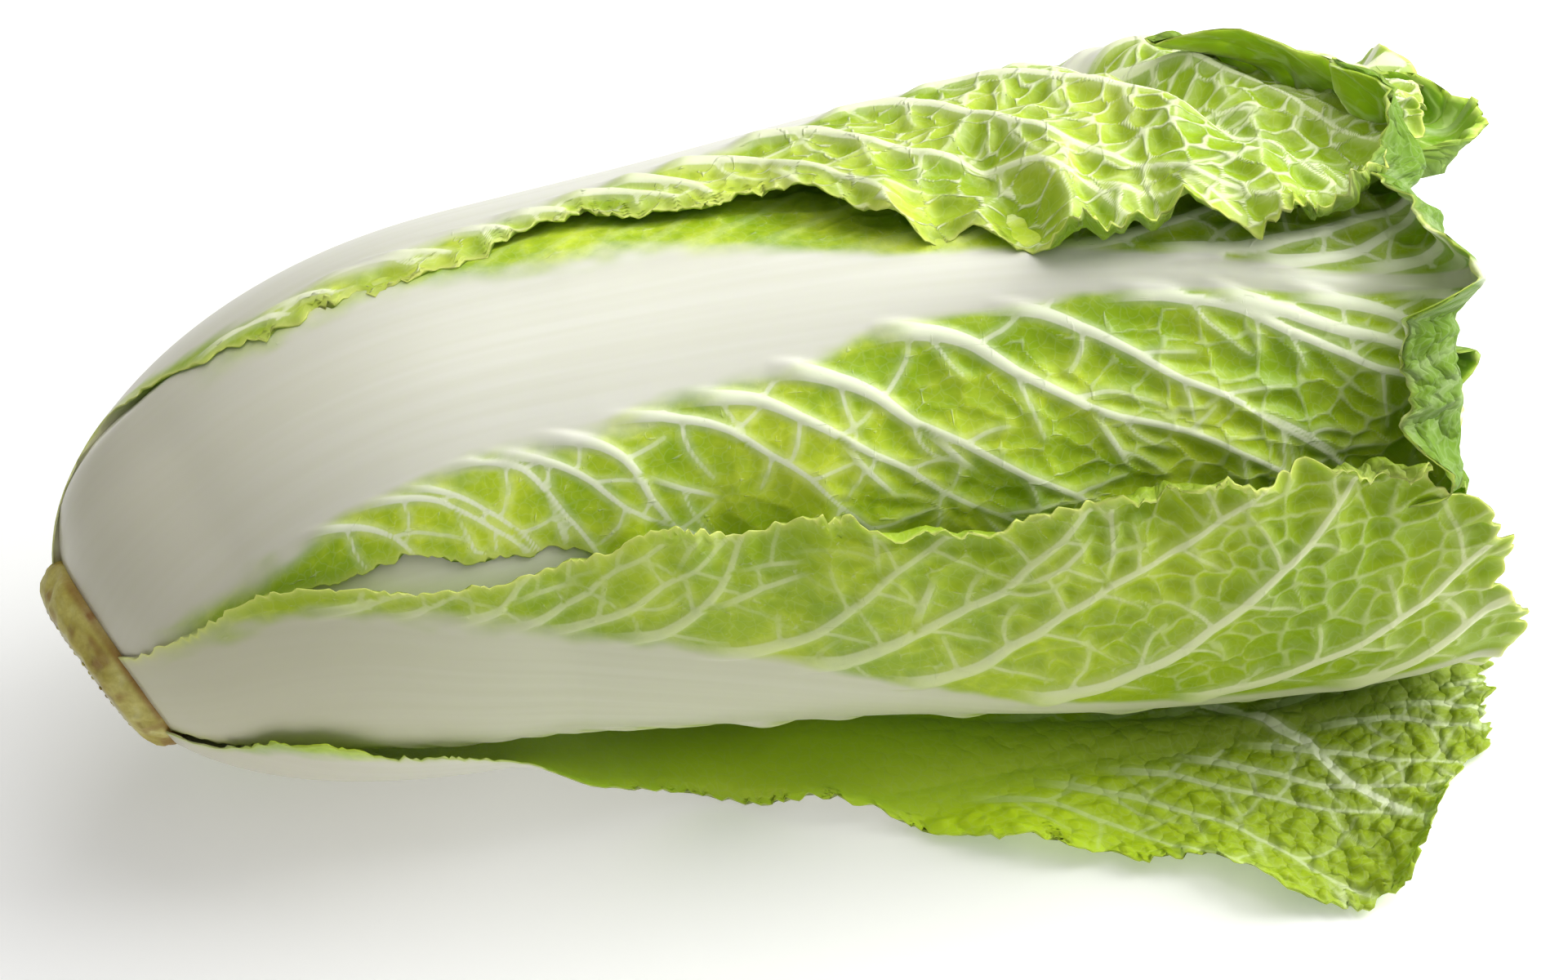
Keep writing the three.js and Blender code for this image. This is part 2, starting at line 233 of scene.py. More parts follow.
def make_stem_material():
    """Drying plant skin: olive yellow with fine fibres, and brown where it was cut or bruised."""
    material, tree, shader = new_material("stem_cut")
    spot = node(tree, "ShaderNodeTexCoord").outputs["Object"]
    blotch = noise(tree, spot, 110, 5)["Fac"]
    fine = noise(tree, spot, 900, 4, 0.6)["Fac"]
    skin = ramp(tree, blotch, (0.30, (0.30, 0.20, 0.03)), (0.42, (0.50, 0.42, 0.07)),
                (0.58, (0.62, 0.56, 0.15)), (0.72, (0.72, 0.68, 0.34)))
    pith = ramp(tree, fine, (0.3, (0.52, 0.48, 0.27)), (0.7, (0.72, 0.69, 0.48)))
    colour = blend(tree, attribute(tree, "cut_face")["Fac"], skin, pith)
    colour = blend(tree, attribute(tree, "stain")["Fac"], colour, (0.30, 0.15, 0.02))
    grains = ramp(tree, fine, (0.35, (0.80, 0.78, 0.72)), (0.65, (1, 1, 1)))
    colour = blend(tree, 0.6, colour, grains, "MULTIPLY")
    bump = result(tree, "ShaderNodeBump", {"Strength": 0.5, "Distance": 0.0005, "Height": fine})
    wire(tree, shader, {"Base Color": colour, "Normal": bump, "Roughness": 0.55})
    return material


def make_stem(material, around=176):
    """Rings from the middle of the cut face, over its rim and the short skin, to the cone inside."""
    angle = np.linspace(0, 2 * np.pi, around, endpoint=False)
    lobes = (1 + 0.025 * np.sin(5 * angle + 0.8) + 0.014 * np.sin(11 * angle + 2)
             + 0.008 * np.sin(23 * angle))
    rings, face, stain = [], [], []

    def add_ring(ring, faced, stained):
        rings.append(ring)
        face.append(np.full(around, faced))
        stain.append(np.broadcast_to(stained, around))

    for share in np.linspace(0.04, 0.97, 26):
        radius = CUT_RADIUS * share * mix(1, lobes, share)
        across, up = radius * np.cos(angle), radius * np.sin(angle)
        knife = 0.16 * np.sin(across * 1.3 + 2 * grain(across, up, 7, 3))
        off_ring = share - BUNDLE_RING
        bundle = 0.4 * math.exp(-(off_ring / 0.05) ** 2) * grain(angle * 30, share * 8, 1.4, 5)
        sunk = 0.9 * math.exp(-(share / 0.3) ** 2)
        rounded = 1.6 * share ** 9
        station = CUT_END - 0.6 + sunk + rounded + knife - bundle
        blotch = 0.7 * smooth(grain(across, up, 6, 8), 0.35, 0.8)
        add_ring(round_axis(station, angle, radius), 1 - float(smooth(share, 0.84, 0.95)),
                 blotch + 0.45 * math.exp(-(off_ring / 0.04) ** 2))
    for share in np.linspace(0, 1, 14):
        station = mix(CUT_END + 1.6, LEAF_ROOT + 1.2, share)
        scar = 0.8 * grain(angle * 14, share * 3, 2.2, 11) + 0.45 * grain(angle * 40, share * 6, 1.5, 12)
        flare = 0.6 + 2.6 * math.sin(1.5 * share)
        radius = CUT_RADIUS * mix(lobes, 1, share) + flare + scar * (1 - share ** 3)
        seam = 0.9 * float(smooth(share, 0.62, 0.95)) * smooth(grain(angle * 12, 1, 6, 15), -0.7, 0.6)
        bruise = smooth(grain(angle * 12, share * 5, 2.4, 14), 0.35, 0.8) * 0.6
        add_ring(round_axis(station, angle, radius), 0.0, bruise + seam)
    for depth in (4, 10, 18, 26, 34, 40):
        station, radius = inside(LEAF_ROOT, depth)
        add_ring(round_axis(station + 1, angle, radius), 0.0, 0.5)
    first, last = round_axis(CUT_END + 0.3, 0, 0), round_axis(STEM_TOP, 0, 0)
    stem = rings_solid("stem_stub", first, rings, last, material)
    for name, values in (("cut_face", face), ("stain", stain)):
        paint(stem, name, "FLOAT", np.concatenate([[values[0][0]], np.concatenate(values), [0]]))
    return stem


def new_geometry_tree(name, counts, measures):
    """A Geometry Nodes tree that takes and gives a mesh and has named inputs, and those inputs."""
    tree = bpy.data.node_groups.new(name, "GeometryNodeTree")
    for way in ("INPUT", "OUTPUT"):
        tree.interface.new_socket("Geometry", in_out=way, socket_type="NodeSocketGeometry")
    for count in counts:
        tree.interface.new_socket(count, in_out="INPUT", socket_type="NodeSocketInt")
    for measure in measures:
        tree.interface.new_socket(measure, in_out="INPUT", socket_type="NodeSocketFloat")
    return tree, tree.nodes.new("NodeGroupInput").outputs


def make_bundle_tree(material):
    """Geometry Nodes: the ends of the fibre bundles, as a ring of small beads in the cut face."""
    tree, given = new_geometry_tree("fibre_bundles", ("Bundles", "Seed"),
                                    ("Ring Radius", "Bead Radius", "Scatter"))
    seed = given["Seed"]
    jitter = result(tree, "FunctionNodeRandomValue", {0: (-1, -1, 0), 1: (1, 1, 0.1), "Seed": seed},
                    data_type="FLOAT_VECTOR")
    spread = result(tree, "ShaderNodeVectorMath", {0: jitter, "Scale": given["Scatter"]}, operation="SCALE")
    ring = result(tree, "GeometryNodeMeshCircle",
                  {"Vertices": given["Bundles"], "Radius": given["Ring Radius"]})
    spots = result(tree, "GeometryNodeSetPosition", {"Geometry": ring, "Offset": spread})
    bead = result(tree, "GeometryNodeMeshIcoSphere", {"Radius": given["Bead Radius"], "Subdivisions": 2})
    beads = result(tree, "GeometryNodeInstanceOnPoints",
                   {"Points": spots, "Instance": bead, "Scale": (1, 1, 0.55)})
    real = result(tree, "GeometryNodeRealizeInstances", {0: beads})
    middle = Vector(round_axis(CUT_END - 0.5, 0, 0) / 1000)
    facing = Vector(round_axis(CUT_END - 1.5, 0, 0) / 1000) - middle
    turn = facing.to_track_quat("Z", "Y").to_euler()
    seated = result(tree, "GeometryNodeTransform",
                    {"Geometry": real, "Translation": middle, "Rotation": turn})
    coloured = result(tree, "GeometryNodeSetMaterial", {"Geometry": seated, "Material": material})
    whole = node(tree, "GeometryNodeJoinGeometry", {0: given["Geometry"]})
    wire(tree, whole, {0: coloured})
    node(tree, "NodeGroupOutput", {0: whole.outputs[0]})
    return tree


def bake(piece, tree, values):
    """Runs a Geometry Nodes tree on a piece with its named inputs set, and keeps the plain mesh."""
    modifier = piece.modifiers.new(tree.name, "NODES")
    modifier.node_group = tree
    for item in tree.interface.items_tree:
        if item.in_out == "INPUT" and item.name in values:
            modifier[item.identifier] = values[item.name]
    bpy.context.view_layer.update()
    evaluated = piece.evaluated_get(bpy.context.evaluated_depsgraph_get())
    made = bpy.data.meshes.new_from_object(evaluated)
    piece.modifiers.remove(modifier)
    made.name = piece.name
    piece.data = made


stem_material = make_stem_material()
stem = make_stem(stem_material)
bake(stem, make_bundle_tree(stem_material),
     {"Bundles": 44, "Ring Radius": 0.0158, "Bead Radius": 0.00055, "Scatter": 0.0009, "Seed": 7})
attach(stem, "root")
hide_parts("stem")

# ----------------------------------------------------------------------------------- outer leaves
# Each outer leaf is one piece of living tissue: a thick white stalk that narrows to a midrib, side
# veins that stand out of its back, and a thin green blade that puckers between the veins and ends
# in a toothed, waved edge. The leaves grow from the stem and wrap round each other.
STALK_HALF = [(-164, 12), (-150, 22), (-120, 27.5), (-80, 27), (-50, 24.5), (-15, 20), (10, 14),
              (36, 9.5), (60, 6.5), (100, 4), (160, 2)]
STALK_THICK = [(-164, 4.5), (-145, 6), (-90, 5.5), (-20, 4), (60, 2.2), (160, 0.5)]
BLADE = 0.7
EDGE_THICK = 0.4
WAVE = 46
FRILL_WAVE = 15
TOOTH = 3.4
FIRST_VEIN = 40
THINNEST_VEIN = 0.5
BRANCH_STEP = 0.42
MAP_WIDTH = 116
def along(stations, x):
    """A smooth value through (station, value) pairs."""
    xs, ys = np.array(stations, float).T
    x = np.clip(x, xs[0], xs[-1])
    i = np.clip(np.searchsorted(xs, x), 1, len(xs) - 1)
    slope = np.diff(ys) / np.diff(xs)
    tangent = np.concatenate([slope[:1], (slope[1:] + slope[:-1]) / 2, slope[-1:]])
    span = xs[i] - xs[i - 1]
    t = (x - xs[i - 1]) / span
    straight = mix(ys[i - 1], ys[i], t * t * (3 - 2 * t))
    return straight + span * t * (1 - t) * (tangent[i - 1] * (1 - t) - tangent[i] * t)


class Leaf:
    """A leaf's form in mm and degrees, with the usual values of what only some leaves change. Each
    leaf has a tip station, the angle of its midrib and the half width of its left and right blade by
    station, depths inside the envelope (left, middle, right), and how far its edges ruffle and curl."""

    # Where the sides begin, in stalk widths, and the root end's share of the depth.
    wing_from, root_in = 1, 0.3
    # Edges: how far the tip line falls back at the sides, the stations where ruffles and loose edges
    # begin, the bands that curl (left, right, tip), and how evenly the tip curls.
    drop, wave_from, loose = 34, -120, -70
    band, even, flat_end, fold_lobes = (11, 11, 11), 0.25, 0, 2.5
    frill, crumple, lobes, teeth, dense = 0.6, 0.7, 0, 1, 0
    # How far parts stand out of the envelope by station, folds, and the midrib of an opened leaf.
    raised = stand_off = [(LEAF_ROOT, 0), (180, 0)]
    folds, opened_midrib, shows = (), None, "back"
    # Veins: size, slopes at the root and tip ends, spacing, forks, branches, relief, whiteness, a side
    # on which they hardly show, one given point by point, and the fineness of the map.
    vein, steep, spacing, forks, branch_gap = 1, (48, 27), 20, (0.5, 0.78), 10
    relief, white, plain, bold, vein_seed, cell = 1, 1, 0, (), None, 0.5
    # Puckers between the veins: size and share of the net, depth, and how calm the root end is.
    net, quilt, pucker, calm = 8, 0.4, 1, 0.3
    # White stalk: its size, its width on each side, its largest share of the blade and where it ends.
    stalk, stalk_sides, stalk_end, white_share = 1, (1, 1), 0.85, 9
    white_root, white_right = (-158, -138), (-200, -190)

    def __init__(self, **own):
        vars(self).update(own)

    def half_width(self, x, side):
        return np.where(side < 0, along(self.left, x), along(self.right, x))

    def stalk_half(self, x):
        return along(STALK_HALF, x) * self.stalk


def ease(t):
    """The same curve as smooth(), from 0 to 1, for a single number."""
    t = min(max(t, 0), 1)
    return t * t * (3 - 2 * t)


def step_on(u, v, heading, length):
    """The place a length further on along a heading."""
    return u + length * math.cos(math.radians(heading)), v + length * math.sin(math.radians(heading))


class VeinMap:
    """A leaf laid flat, as maps of its veins. u runs from root to tip, and v across the blade."""

    def __init__(self, leaf):
        self.leaf = leaf
        self.cell = leaf.cell
        self.rng = np.random.default_rng(leaf.vein_seed or leaf.seed)
        self.u = np.arange(0, leaf.tip - LEAF_ROOT + 12, self.cell)
        self.v = np.arange(-MAP_WIDTH, MAP_WIDTH, self.cell)
        x = LEAF_ROOT + self.u
        self.half = {-1: along(leaf.left, x).tolist(), 1: along(leaf.right, x).tolist()}
        left, right = leaf.stalk_sides
        stalk = leaf.stalk_half(x)
        self.stalk = {-1: (stalk * left).tolist(), 1: (stalk * right).tolist()}
        self.branches = []
        spots = []
        self.grow_side_veins(spots)
        for (x0, v0), (x1, v1) in zip(leaf.bold, leaf.bold[1:]):
            spots += [(mix(x0, x1, share) - LEAF_ROOT, mix(v0, v1, share), 1.4 - 0.012 * v1, 1.6)
                      for share in np.linspace(0, 1, 14)]
        main = self.press(spots)
        self.near = main[0]
        fine = self.press(self.grow_branches())
        self.combine(main, fine)

    def grow(self, spots, u, v, side, width, course, forks, reach=200):
        """A side vein, from inside the stalk to the blade's edge. It bends outwards and may fork."""
        leaf = self.leaf
        phase = self.rng.uniform(0, 6.28)
        swing = self.rng.uniform(3, 9)
        hook = self.rng.uniform(-14, 22)
        kick = 0
        branch_side = self.rng.choice([-1, 1])
        branch_at = self.rng.uniform(0.5, 1.2) * leaf.branch_gap
        travelled = 0
        while travelled < reach:
            row = int(u / self.cell)
            if row >= len(self.u) - 2:
                return
            # `out` is 0 at the stalk and 1 at the edge, where the vein ends.
            stalk = self.stalk[side][row]
            out = (side * v - stalk) / max(self.half[side][row] - stalk, 1)
            if out > 0.985 or LEAF_ROOT + u > leaf.tip - leaf.drop * max(out, 0) ** 3 - 1:
                return
            out = max(out, 0)
            bend = course[0] + (course[1] - course[0]) * ease(travelled / 32)
            bend += swing * math.sin(travelled / 12 + phase) + hook * ease((out - 0.6) / 0.4) + kick
            tapered = width * (0.3 + 0.7 * math.exp(-travelled / 30)) * (1 - 0.45 * out)
            here = max(tapered, THINNEST_VEIN)
            strength = ease(travelled / 14 + 0.1) * mix(1, 0.7, out) * ease((reach - travelled) / 8)
            if leaf.plain * v > 0:
                strength *= mix(0.12, 1, ease((u - 200) / 60))
            spots.append((u, v, here, strength))
            step = min(max(0.8 * here, 0.35), 0.9)
            kick *= 0.9 ** step
            u, v = step_on(u, v, side * bend, step)
            travelled += step
            # It gives off a fork, or a fine vein on one side and then on the other.
            if forks and out > forks[0]:
                turn = self.rng.choice([-1, 1]) * self.rng.uniform(20, 32)
                child = (max(bend + turn, 22), max(bend + turn * 0.7, 28))
                self.grow(spots, u, v, side, here * 1.1, child, (), self.rng.uniform(16, 34))
                course = (course[0] - turn * 0.3, max(course[1] - turn * 0.3, 26))
                forks = forks[1:]
            if travelled > branch_at and out > 0.01:
                heading = side * (bend + branch_side * self.rng.uniform(42, 66))
                self.branches.append((u, v, heading, here, strength))
                kick = -6 * branch_side
                branch_side = -branch_side
                branch_at += self.rng.uniform(0.7, 1.3) * leaf.branch_gap

    def grow_side_veins(self, spots):
        leaf = self.leaf
        for side in (-1, 1):
            u = FIRST_VEIN + self.rng.uniform(0, 6)
            while u < leaf.tip - LEAF_ROOT - 12:
                size = leaf.vein * self.rng.uniform(0.8, 1.15)
                size *= mix(0.85, 2.1, ease((u - 60) / 110)) * mix(1, 0.5, ease((u - 250) / 80))
                steep = mix(*leaf.steep, ease((u - 60) / 190)) + self.rng.uniform(-6, 6)
                forks = [fork for fork in leaf.forks if self.rng.uniform() < 0.65]
                start = side * self.stalk[side][int(u / self.cell)] * 0.9
                self.grow(spots, u, start, side, size, (self.rng.uniform(4, 10), steep), forks)
                u += mix(12.5, leaf.spacing, ease((u - 80) / 120)) * self.rng.uniform(0.75, 1.25)

    def grow_branches(self):
        """Fine veins, from one side vein towards the next, that end where they meet another."""
        spots = []
        for u, v, heading, parent, strength in self.branches:
            width = min(max(parent * 0.5, 0.44), 0.52)
            reach = self.rng.uniform(9, 22)
            wiggle = self.rng.uniform(-2.2, 2.2)
            travelled = 0
            while travelled < reach:
                i = int(u / self.cell)
                j = int((v + MAP_WIDTH) / self.cell)
                side = 1 if v > 0 else -1
                if not (0 < i < len(self.u) and 0 < j < len(self.v)):
                    break
                if abs(v) > self.half[side][i] or abs(v) < self.stalk[side][i]:
                    break
                if travelled > parent + 2.5 and self.near[i, j] < 0.1:
                    break
                spots.append((u, v, width, 0.85 * strength * (1 - 0.6 * travelled / reach)))
                heading += 0.6 * (wiggle + self.rng.uniform(-8, 8))
                u, v = step_on(u, v, heading, BRANCH_STEP)
                travelled += BRANCH_STEP
        return spots

    def press(self, spots):
        """Maps of the distance to the nearest vein's flank, of its half width and of its whiteness."""
        shape = (len(self.u), len(self.v))
        near, girth, pale = np.full(shape, 9.0), np.full(shape, 0.3), np.zeros(shape)
        for u, v, width, strength in spots:
            reach = int((width + 4.2) / self.cell)
            i = int(u / self.cell)
            j = int((v + MAP_WIDTH) / self.cell)
            rows = slice(max(i - reach, 0), i + reach)
            columns = slice(max(j - reach, 0), j + reach)
            across = self.v[columns] - v
            away = np.sqrt((self.u[rows] - u)[:, None] ** 2 + across * across) - width
            window = near[rows, columns]
            nearer = away < window
            window[nearer] = away[nearer]
            girth[rows, columns][nearer] = width
            pale[rows, columns][nearer] = strength
        return near, girth, pale

    def net(self, size):
        """Distance to the nearest wall of an uneven polygon net."""
        u, v = np.meshgrid(self.u, self.v, indexing="ij")
        a = (u + 1.6 * grain(u, v, 7, 31) + 0.5 * grain(u, v, 2.4, 32)) / (size * 1.15)
        b = (v + 1.6 * grain(u, v, 7, 33) + 0.5 * grain(u, v, 2.4, 34)) / size
        lattice = self.rng.uniform(0.12, 0.88, (80, 80, 2))
        i, j = np.floor(a).astype(int), np.floor(b).astype(int)
        first = np.full(u.shape, 9.0)
        second = np.full(u.shape, 9.0)
        for di in (-1, 0, 1):
            for dj in (-1, 0, 1):
                seed = lattice[(i + di) % 80, (j + dj) % 80]
                away = np.hypot(i + di + seed[..., 0] - a, j + dj + seed[..., 1] - b) * size
                second = np.minimum(second, np.maximum(first, away))
                first = np.minimum(first, away)
        return (second - first) / 2

    def combine(self, main, fine):
        """The relief of the veins and of the puckers between them, and how far off each vein lies."""
        leaf = self.leaf
        edge = self.net(leaf.net)
        stalks = {side: np.array(stalk)[:, None] for side, stalk in self.stalk.items()}
        out = np.abs(self.v) - np.where(self.v < 0, stalks[-1], stalks[1])
        blade = smooth(out, 1, 7)
        blade = blade * mix(leaf.calm, 1, smooth(self.u, 110, 260)[:, None])
        nearest = main[0] <= fine[0]
        near, girth, pale = (np.where(nearest, a, b) for a, b in zip(main, fine))
        ridge = 0.3 * blade * np.exp(-(edge / 0.6) ** 2)
        cord = 1 - ((near + girth) / (1.15 * girth + 0.25)) ** 2
        strong = np.clip(pale * 1.3, 0, 1) * leaf.relief * smooth(girth, 0.4, 0.9)
        ridge = np.maximum(ridge, 0.62 * girth * np.sqrt(np.clip(cord, 0, 1)) * strong)
        gap = np.clip(np.minimum(near + 3 * (1 - np.clip(pale * 1.5, 0, 1)), out), 0, 9)
        pucker = (1 - leaf.quilt) * (1 - np.exp(-(gap / 3.2) ** 2))
        pucker += leaf.quilt * (1 - np.exp(-(np.minimum(gap, edge) / 1.7) ** 2))
        for axis in (0, 1):
            ridge = (np.roll(ridge, 1, axis) + 2 * ridge + np.roll(ridge, -1, axis)) / 4
            pucker = (np.roll(pucker, 1, axis) + 2 * pucker + np.roll(pucker, -1, axis)) / 4
        pale = pale * mix(leaf.white, 1, smooth(self.u, 150, 270)[:, None])
        self.maps = {"near": np.clip(near, -2, 5), "edge": edge * mix(4, 1, blade), "pale": pale,
                     "ridge": ridge, "pucker": pucker}

    def read(self, name, u, v):
        """A map's value at places between its points."""
        values = self.maps[name]
        a = np.clip(u / self.cell, 0, len(self.u) - 1.001)
        b = np.clip((v + MAP_WIDTH) / self.cell, 0, len(self.v) - 1.001)
        i, j = a.astype(int), b.astype(int)
        s, t = a - i, b - j
        low = mix(values[i, j], values[i + 1, j], s)
        high = mix(values[i, j + 1], values[i + 1, j + 1], s)
        return mix(low, high, t)


def rolled(gap, band, turn):
    """An edge band that folds back: how far it pulls in, how far it lifts, and its slope. It bends
    over the first half of the band, and goes on straight from there."""
    q = np.clip(band - gap, 0, band)
    bent = np.minimum(q, band / 2)
    curve = np.maximum(turn, 0.03) / (band / 2)
    slope = curve * bent
    run = np.sin(slope) / curve + (q - bent) * np.cos(slope)
    return q - run, (1 - np.cos(slope)) / curve + (q - bent) * np.sin(slope), slope


def set_down(points, floor):
    """Presses what hangs below a floor flat on it, with a soft bend."""
    over = points[..., 2] - floor
    points[..., 2] = np.where(over < 3, floor + np.maximum(over + 3, 0) ** 2 / 12, points[..., 2])


def lay_leaf(leaf, x, side, edge_gap, tip_gap, extra):
    """Points of a leaf at stations and distances from its midrib, `extra` inside its back."""
    left = side < 0
    sign = np.where(left, -1, 1)
    seed = leaf.seed

    def either(pair):
        return np.where(left, pair[0], pair[1])

    # Loose edges and the tip fold back.
    edge = np.clip(np.abs(side) / leaf.half_width(x, side), 0, 1)
    loose = smooth(x, leaf.loose, leaf.loose + 60)
    turn = either(leaf.curl) * loose * smooth(grain(x, sign * 3, 17, seed), -0.6, 0.7)
    back, lift, slope = rolled(edge_gap, either(leaf.band), turn)
    tip_turn = leaf.curl[2] * mix(smooth(grain(side, 2, 15, seed + 1), -0.6, 0.6), 1, leaf.even)
    tip_turn = tip_turn * (1 - leaf.flat_end * smooth(side, 8, 24))
    lobed_gap = tip_gap + leaf.fold_lobes * grain(side, 5, 8, seed + 7)
    tip_back, tip_lift, tip_slope = rolled(lobed_gap, leaf.band[2], tip_turn)

    # The blade waves, frills and crumples, more and more towards its edge.
    stalk = leaf.stalk_half(x)
    wing = smooth(np.abs(side), stalk * leaf.wing_from, stalk + 20)
    wave = np.abs(np.sin(np.pi * x / WAVE + leaf.phase))
    ripple = np.sin(2 * np.pi * x / FRILL_WAVE + 4 * grain(x, sign, 30, 9))
    frill = leaf.frill * edge ** 4 * loose * ripple
    blade = smooth(np.abs(side), stalk, stalk + 12)
    crumple = blade * loose * leaf.crumple * (grain(x, side, 24, seed + 2)
                                              + 0.5 * grain(x, side, 11, seed + 3))

    # Depth inside the envelope, from the midrib out to the edges.
    left_depth, depth, right_depth = leaf.depths
    depth = mix(depth, either((left_depth, right_depth)), wing)
    depth = depth * mix(leaf.root_in, 1, smooth(x, LEAF_ROOT, -130))
    ruffled = smooth(x, leaf.wave_from, leaf.wave_from + 140)
    depth = depth - either(leaf.ruffle) * wave * edge ** 2 * ruffled
    depth = depth + leaf.tip_in * smooth(x, 95, 170)
    depth = depth - along(leaf.raised, x) * smooth(side, 15, 35)
    depth = depth - along(leaf.stand_off, x) * np.where(left, 1, 1 - 0.65 * edge)
    for x0, side0, x1, side1, width, drop in leaf.folds:
        length = math.hypot(x1 - x0, side1 - side0)
        run = ((x - x0) * (x1 - x0) + (side - side0) * (side1 - side0)) / length
        off = ((x - x0) * (side1 - side0) - (side - side0) * (x1 - x0)) / length
        along_it = smooth(run, -12, 4) * (1 - smooth(run, length - 4, length + 12))
        depth = depth + drop * along_it * np.exp(-np.abs(off / width) ** 1.5)

    flat = np.cos(slope) * np.cos(tip_slope)
    depth = depth - lift - tip_lift - frill - crumple + extra * flat
    angle_side = side - sign * back + sign * extra * np.sin(slope) * np.cos(tip_slope)
    x = x - tip_back + extra * np.sin(tip_slope)
    angle = np.radians(along(leaf.midrib, x)) + angle_side / envelope(x)
    points = place(x, angle, depth)
    if leaf.opened_midrib is None:
        set_down(points, leaf.floor + extra * flat)
        return points

    # An opened leaf lies on the table.
    heave = np.where(left, 0, 6 * edge ** 2 * (0.5 + 0.5 * np.cos(2 * np.pi * x / WAVE + 0.6)))
    rise = extra * flat + heave + lift + tip_lift + (np.abs(frill) + crumple + 0.7) * edge
    lying = np.stack([x, along(leaf.opened_midrib, x) - angle_side, rise], -1)
    points = mix(points, lying, smooth(x, *leaf.opened)[..., None])
    points[..., 2] = np.maximum(points[..., 2], np.maximum(extra, 0))
    return points


def border(rows, columns):
    """The places round the edge of a grid, in order."""
    loop = [(0, j) for j in range(columns)] + [(i, columns) for i in range(rows)]
    return loop + [(rows, j) for j in range(columns, 0, -1)] + [(i, 0) for i in range(rows, 0, -1)]


def shell_faces(rows, columns):
    """The faces of a fine side, of a side with half as many rows and columns, and of the rim."""
    offset = (rows + 1) * (columns + 1)
    halves = columns // 2
    quads = np.concatenate([grid(rows, columns), grid(rows // 2, halves, offset)[:, ::-1]])
    loop = border(rows, columns)
    fine = [i * (columns + 1) + j for i, j in loop]
    coarse = [offset + (i // 2) * (halves + 1) + j // 2 for i, j in loop]
    triangles = []
    for k in range(0, len(loop), 2):
        after = (k + 2) % len(loop)
        triangles += [(fine[k], fine[k + 1], coarse[k]), (fine[k + 1], fine[after], coarse[after]),
                      (fine[k + 1], coarse[after], coarse[k])]
    return quads, triangles


def stalk_whiteness(leaf, x, side, half):
    """How far a place belongs to the white stalk, with a soft uneven edge."""
    seed = leaf.seed
    sides = leaf.stalk_sides
    stalk = leaf.stalk_half(x)
    fuzz = 2.5 * grain(x * 0.4, side, 7, seed + 9) + 1.5 * grain(x * 0.5, side, 2.5, seed + 10)
    white_half = np.minimum(stalk * np.where(side < 0, sides[0], sides[1]), half * leaf.white_share)
    soft = np.minimum(white_half * 0.2, 4)
    white = 1 - smooth(np.abs(side) + fuzz * soft / 4, white_half - soft, white_half + soft)
    white = white * mix(1, leaf.stalk_end, smooth(x, 40, 140))
    white = np.maximum(white, 1 - smooth(x, *leaf.white_root))
    return np.maximum(white, (side > 0) * (1 - smooth(x, *leaf.white_right)))


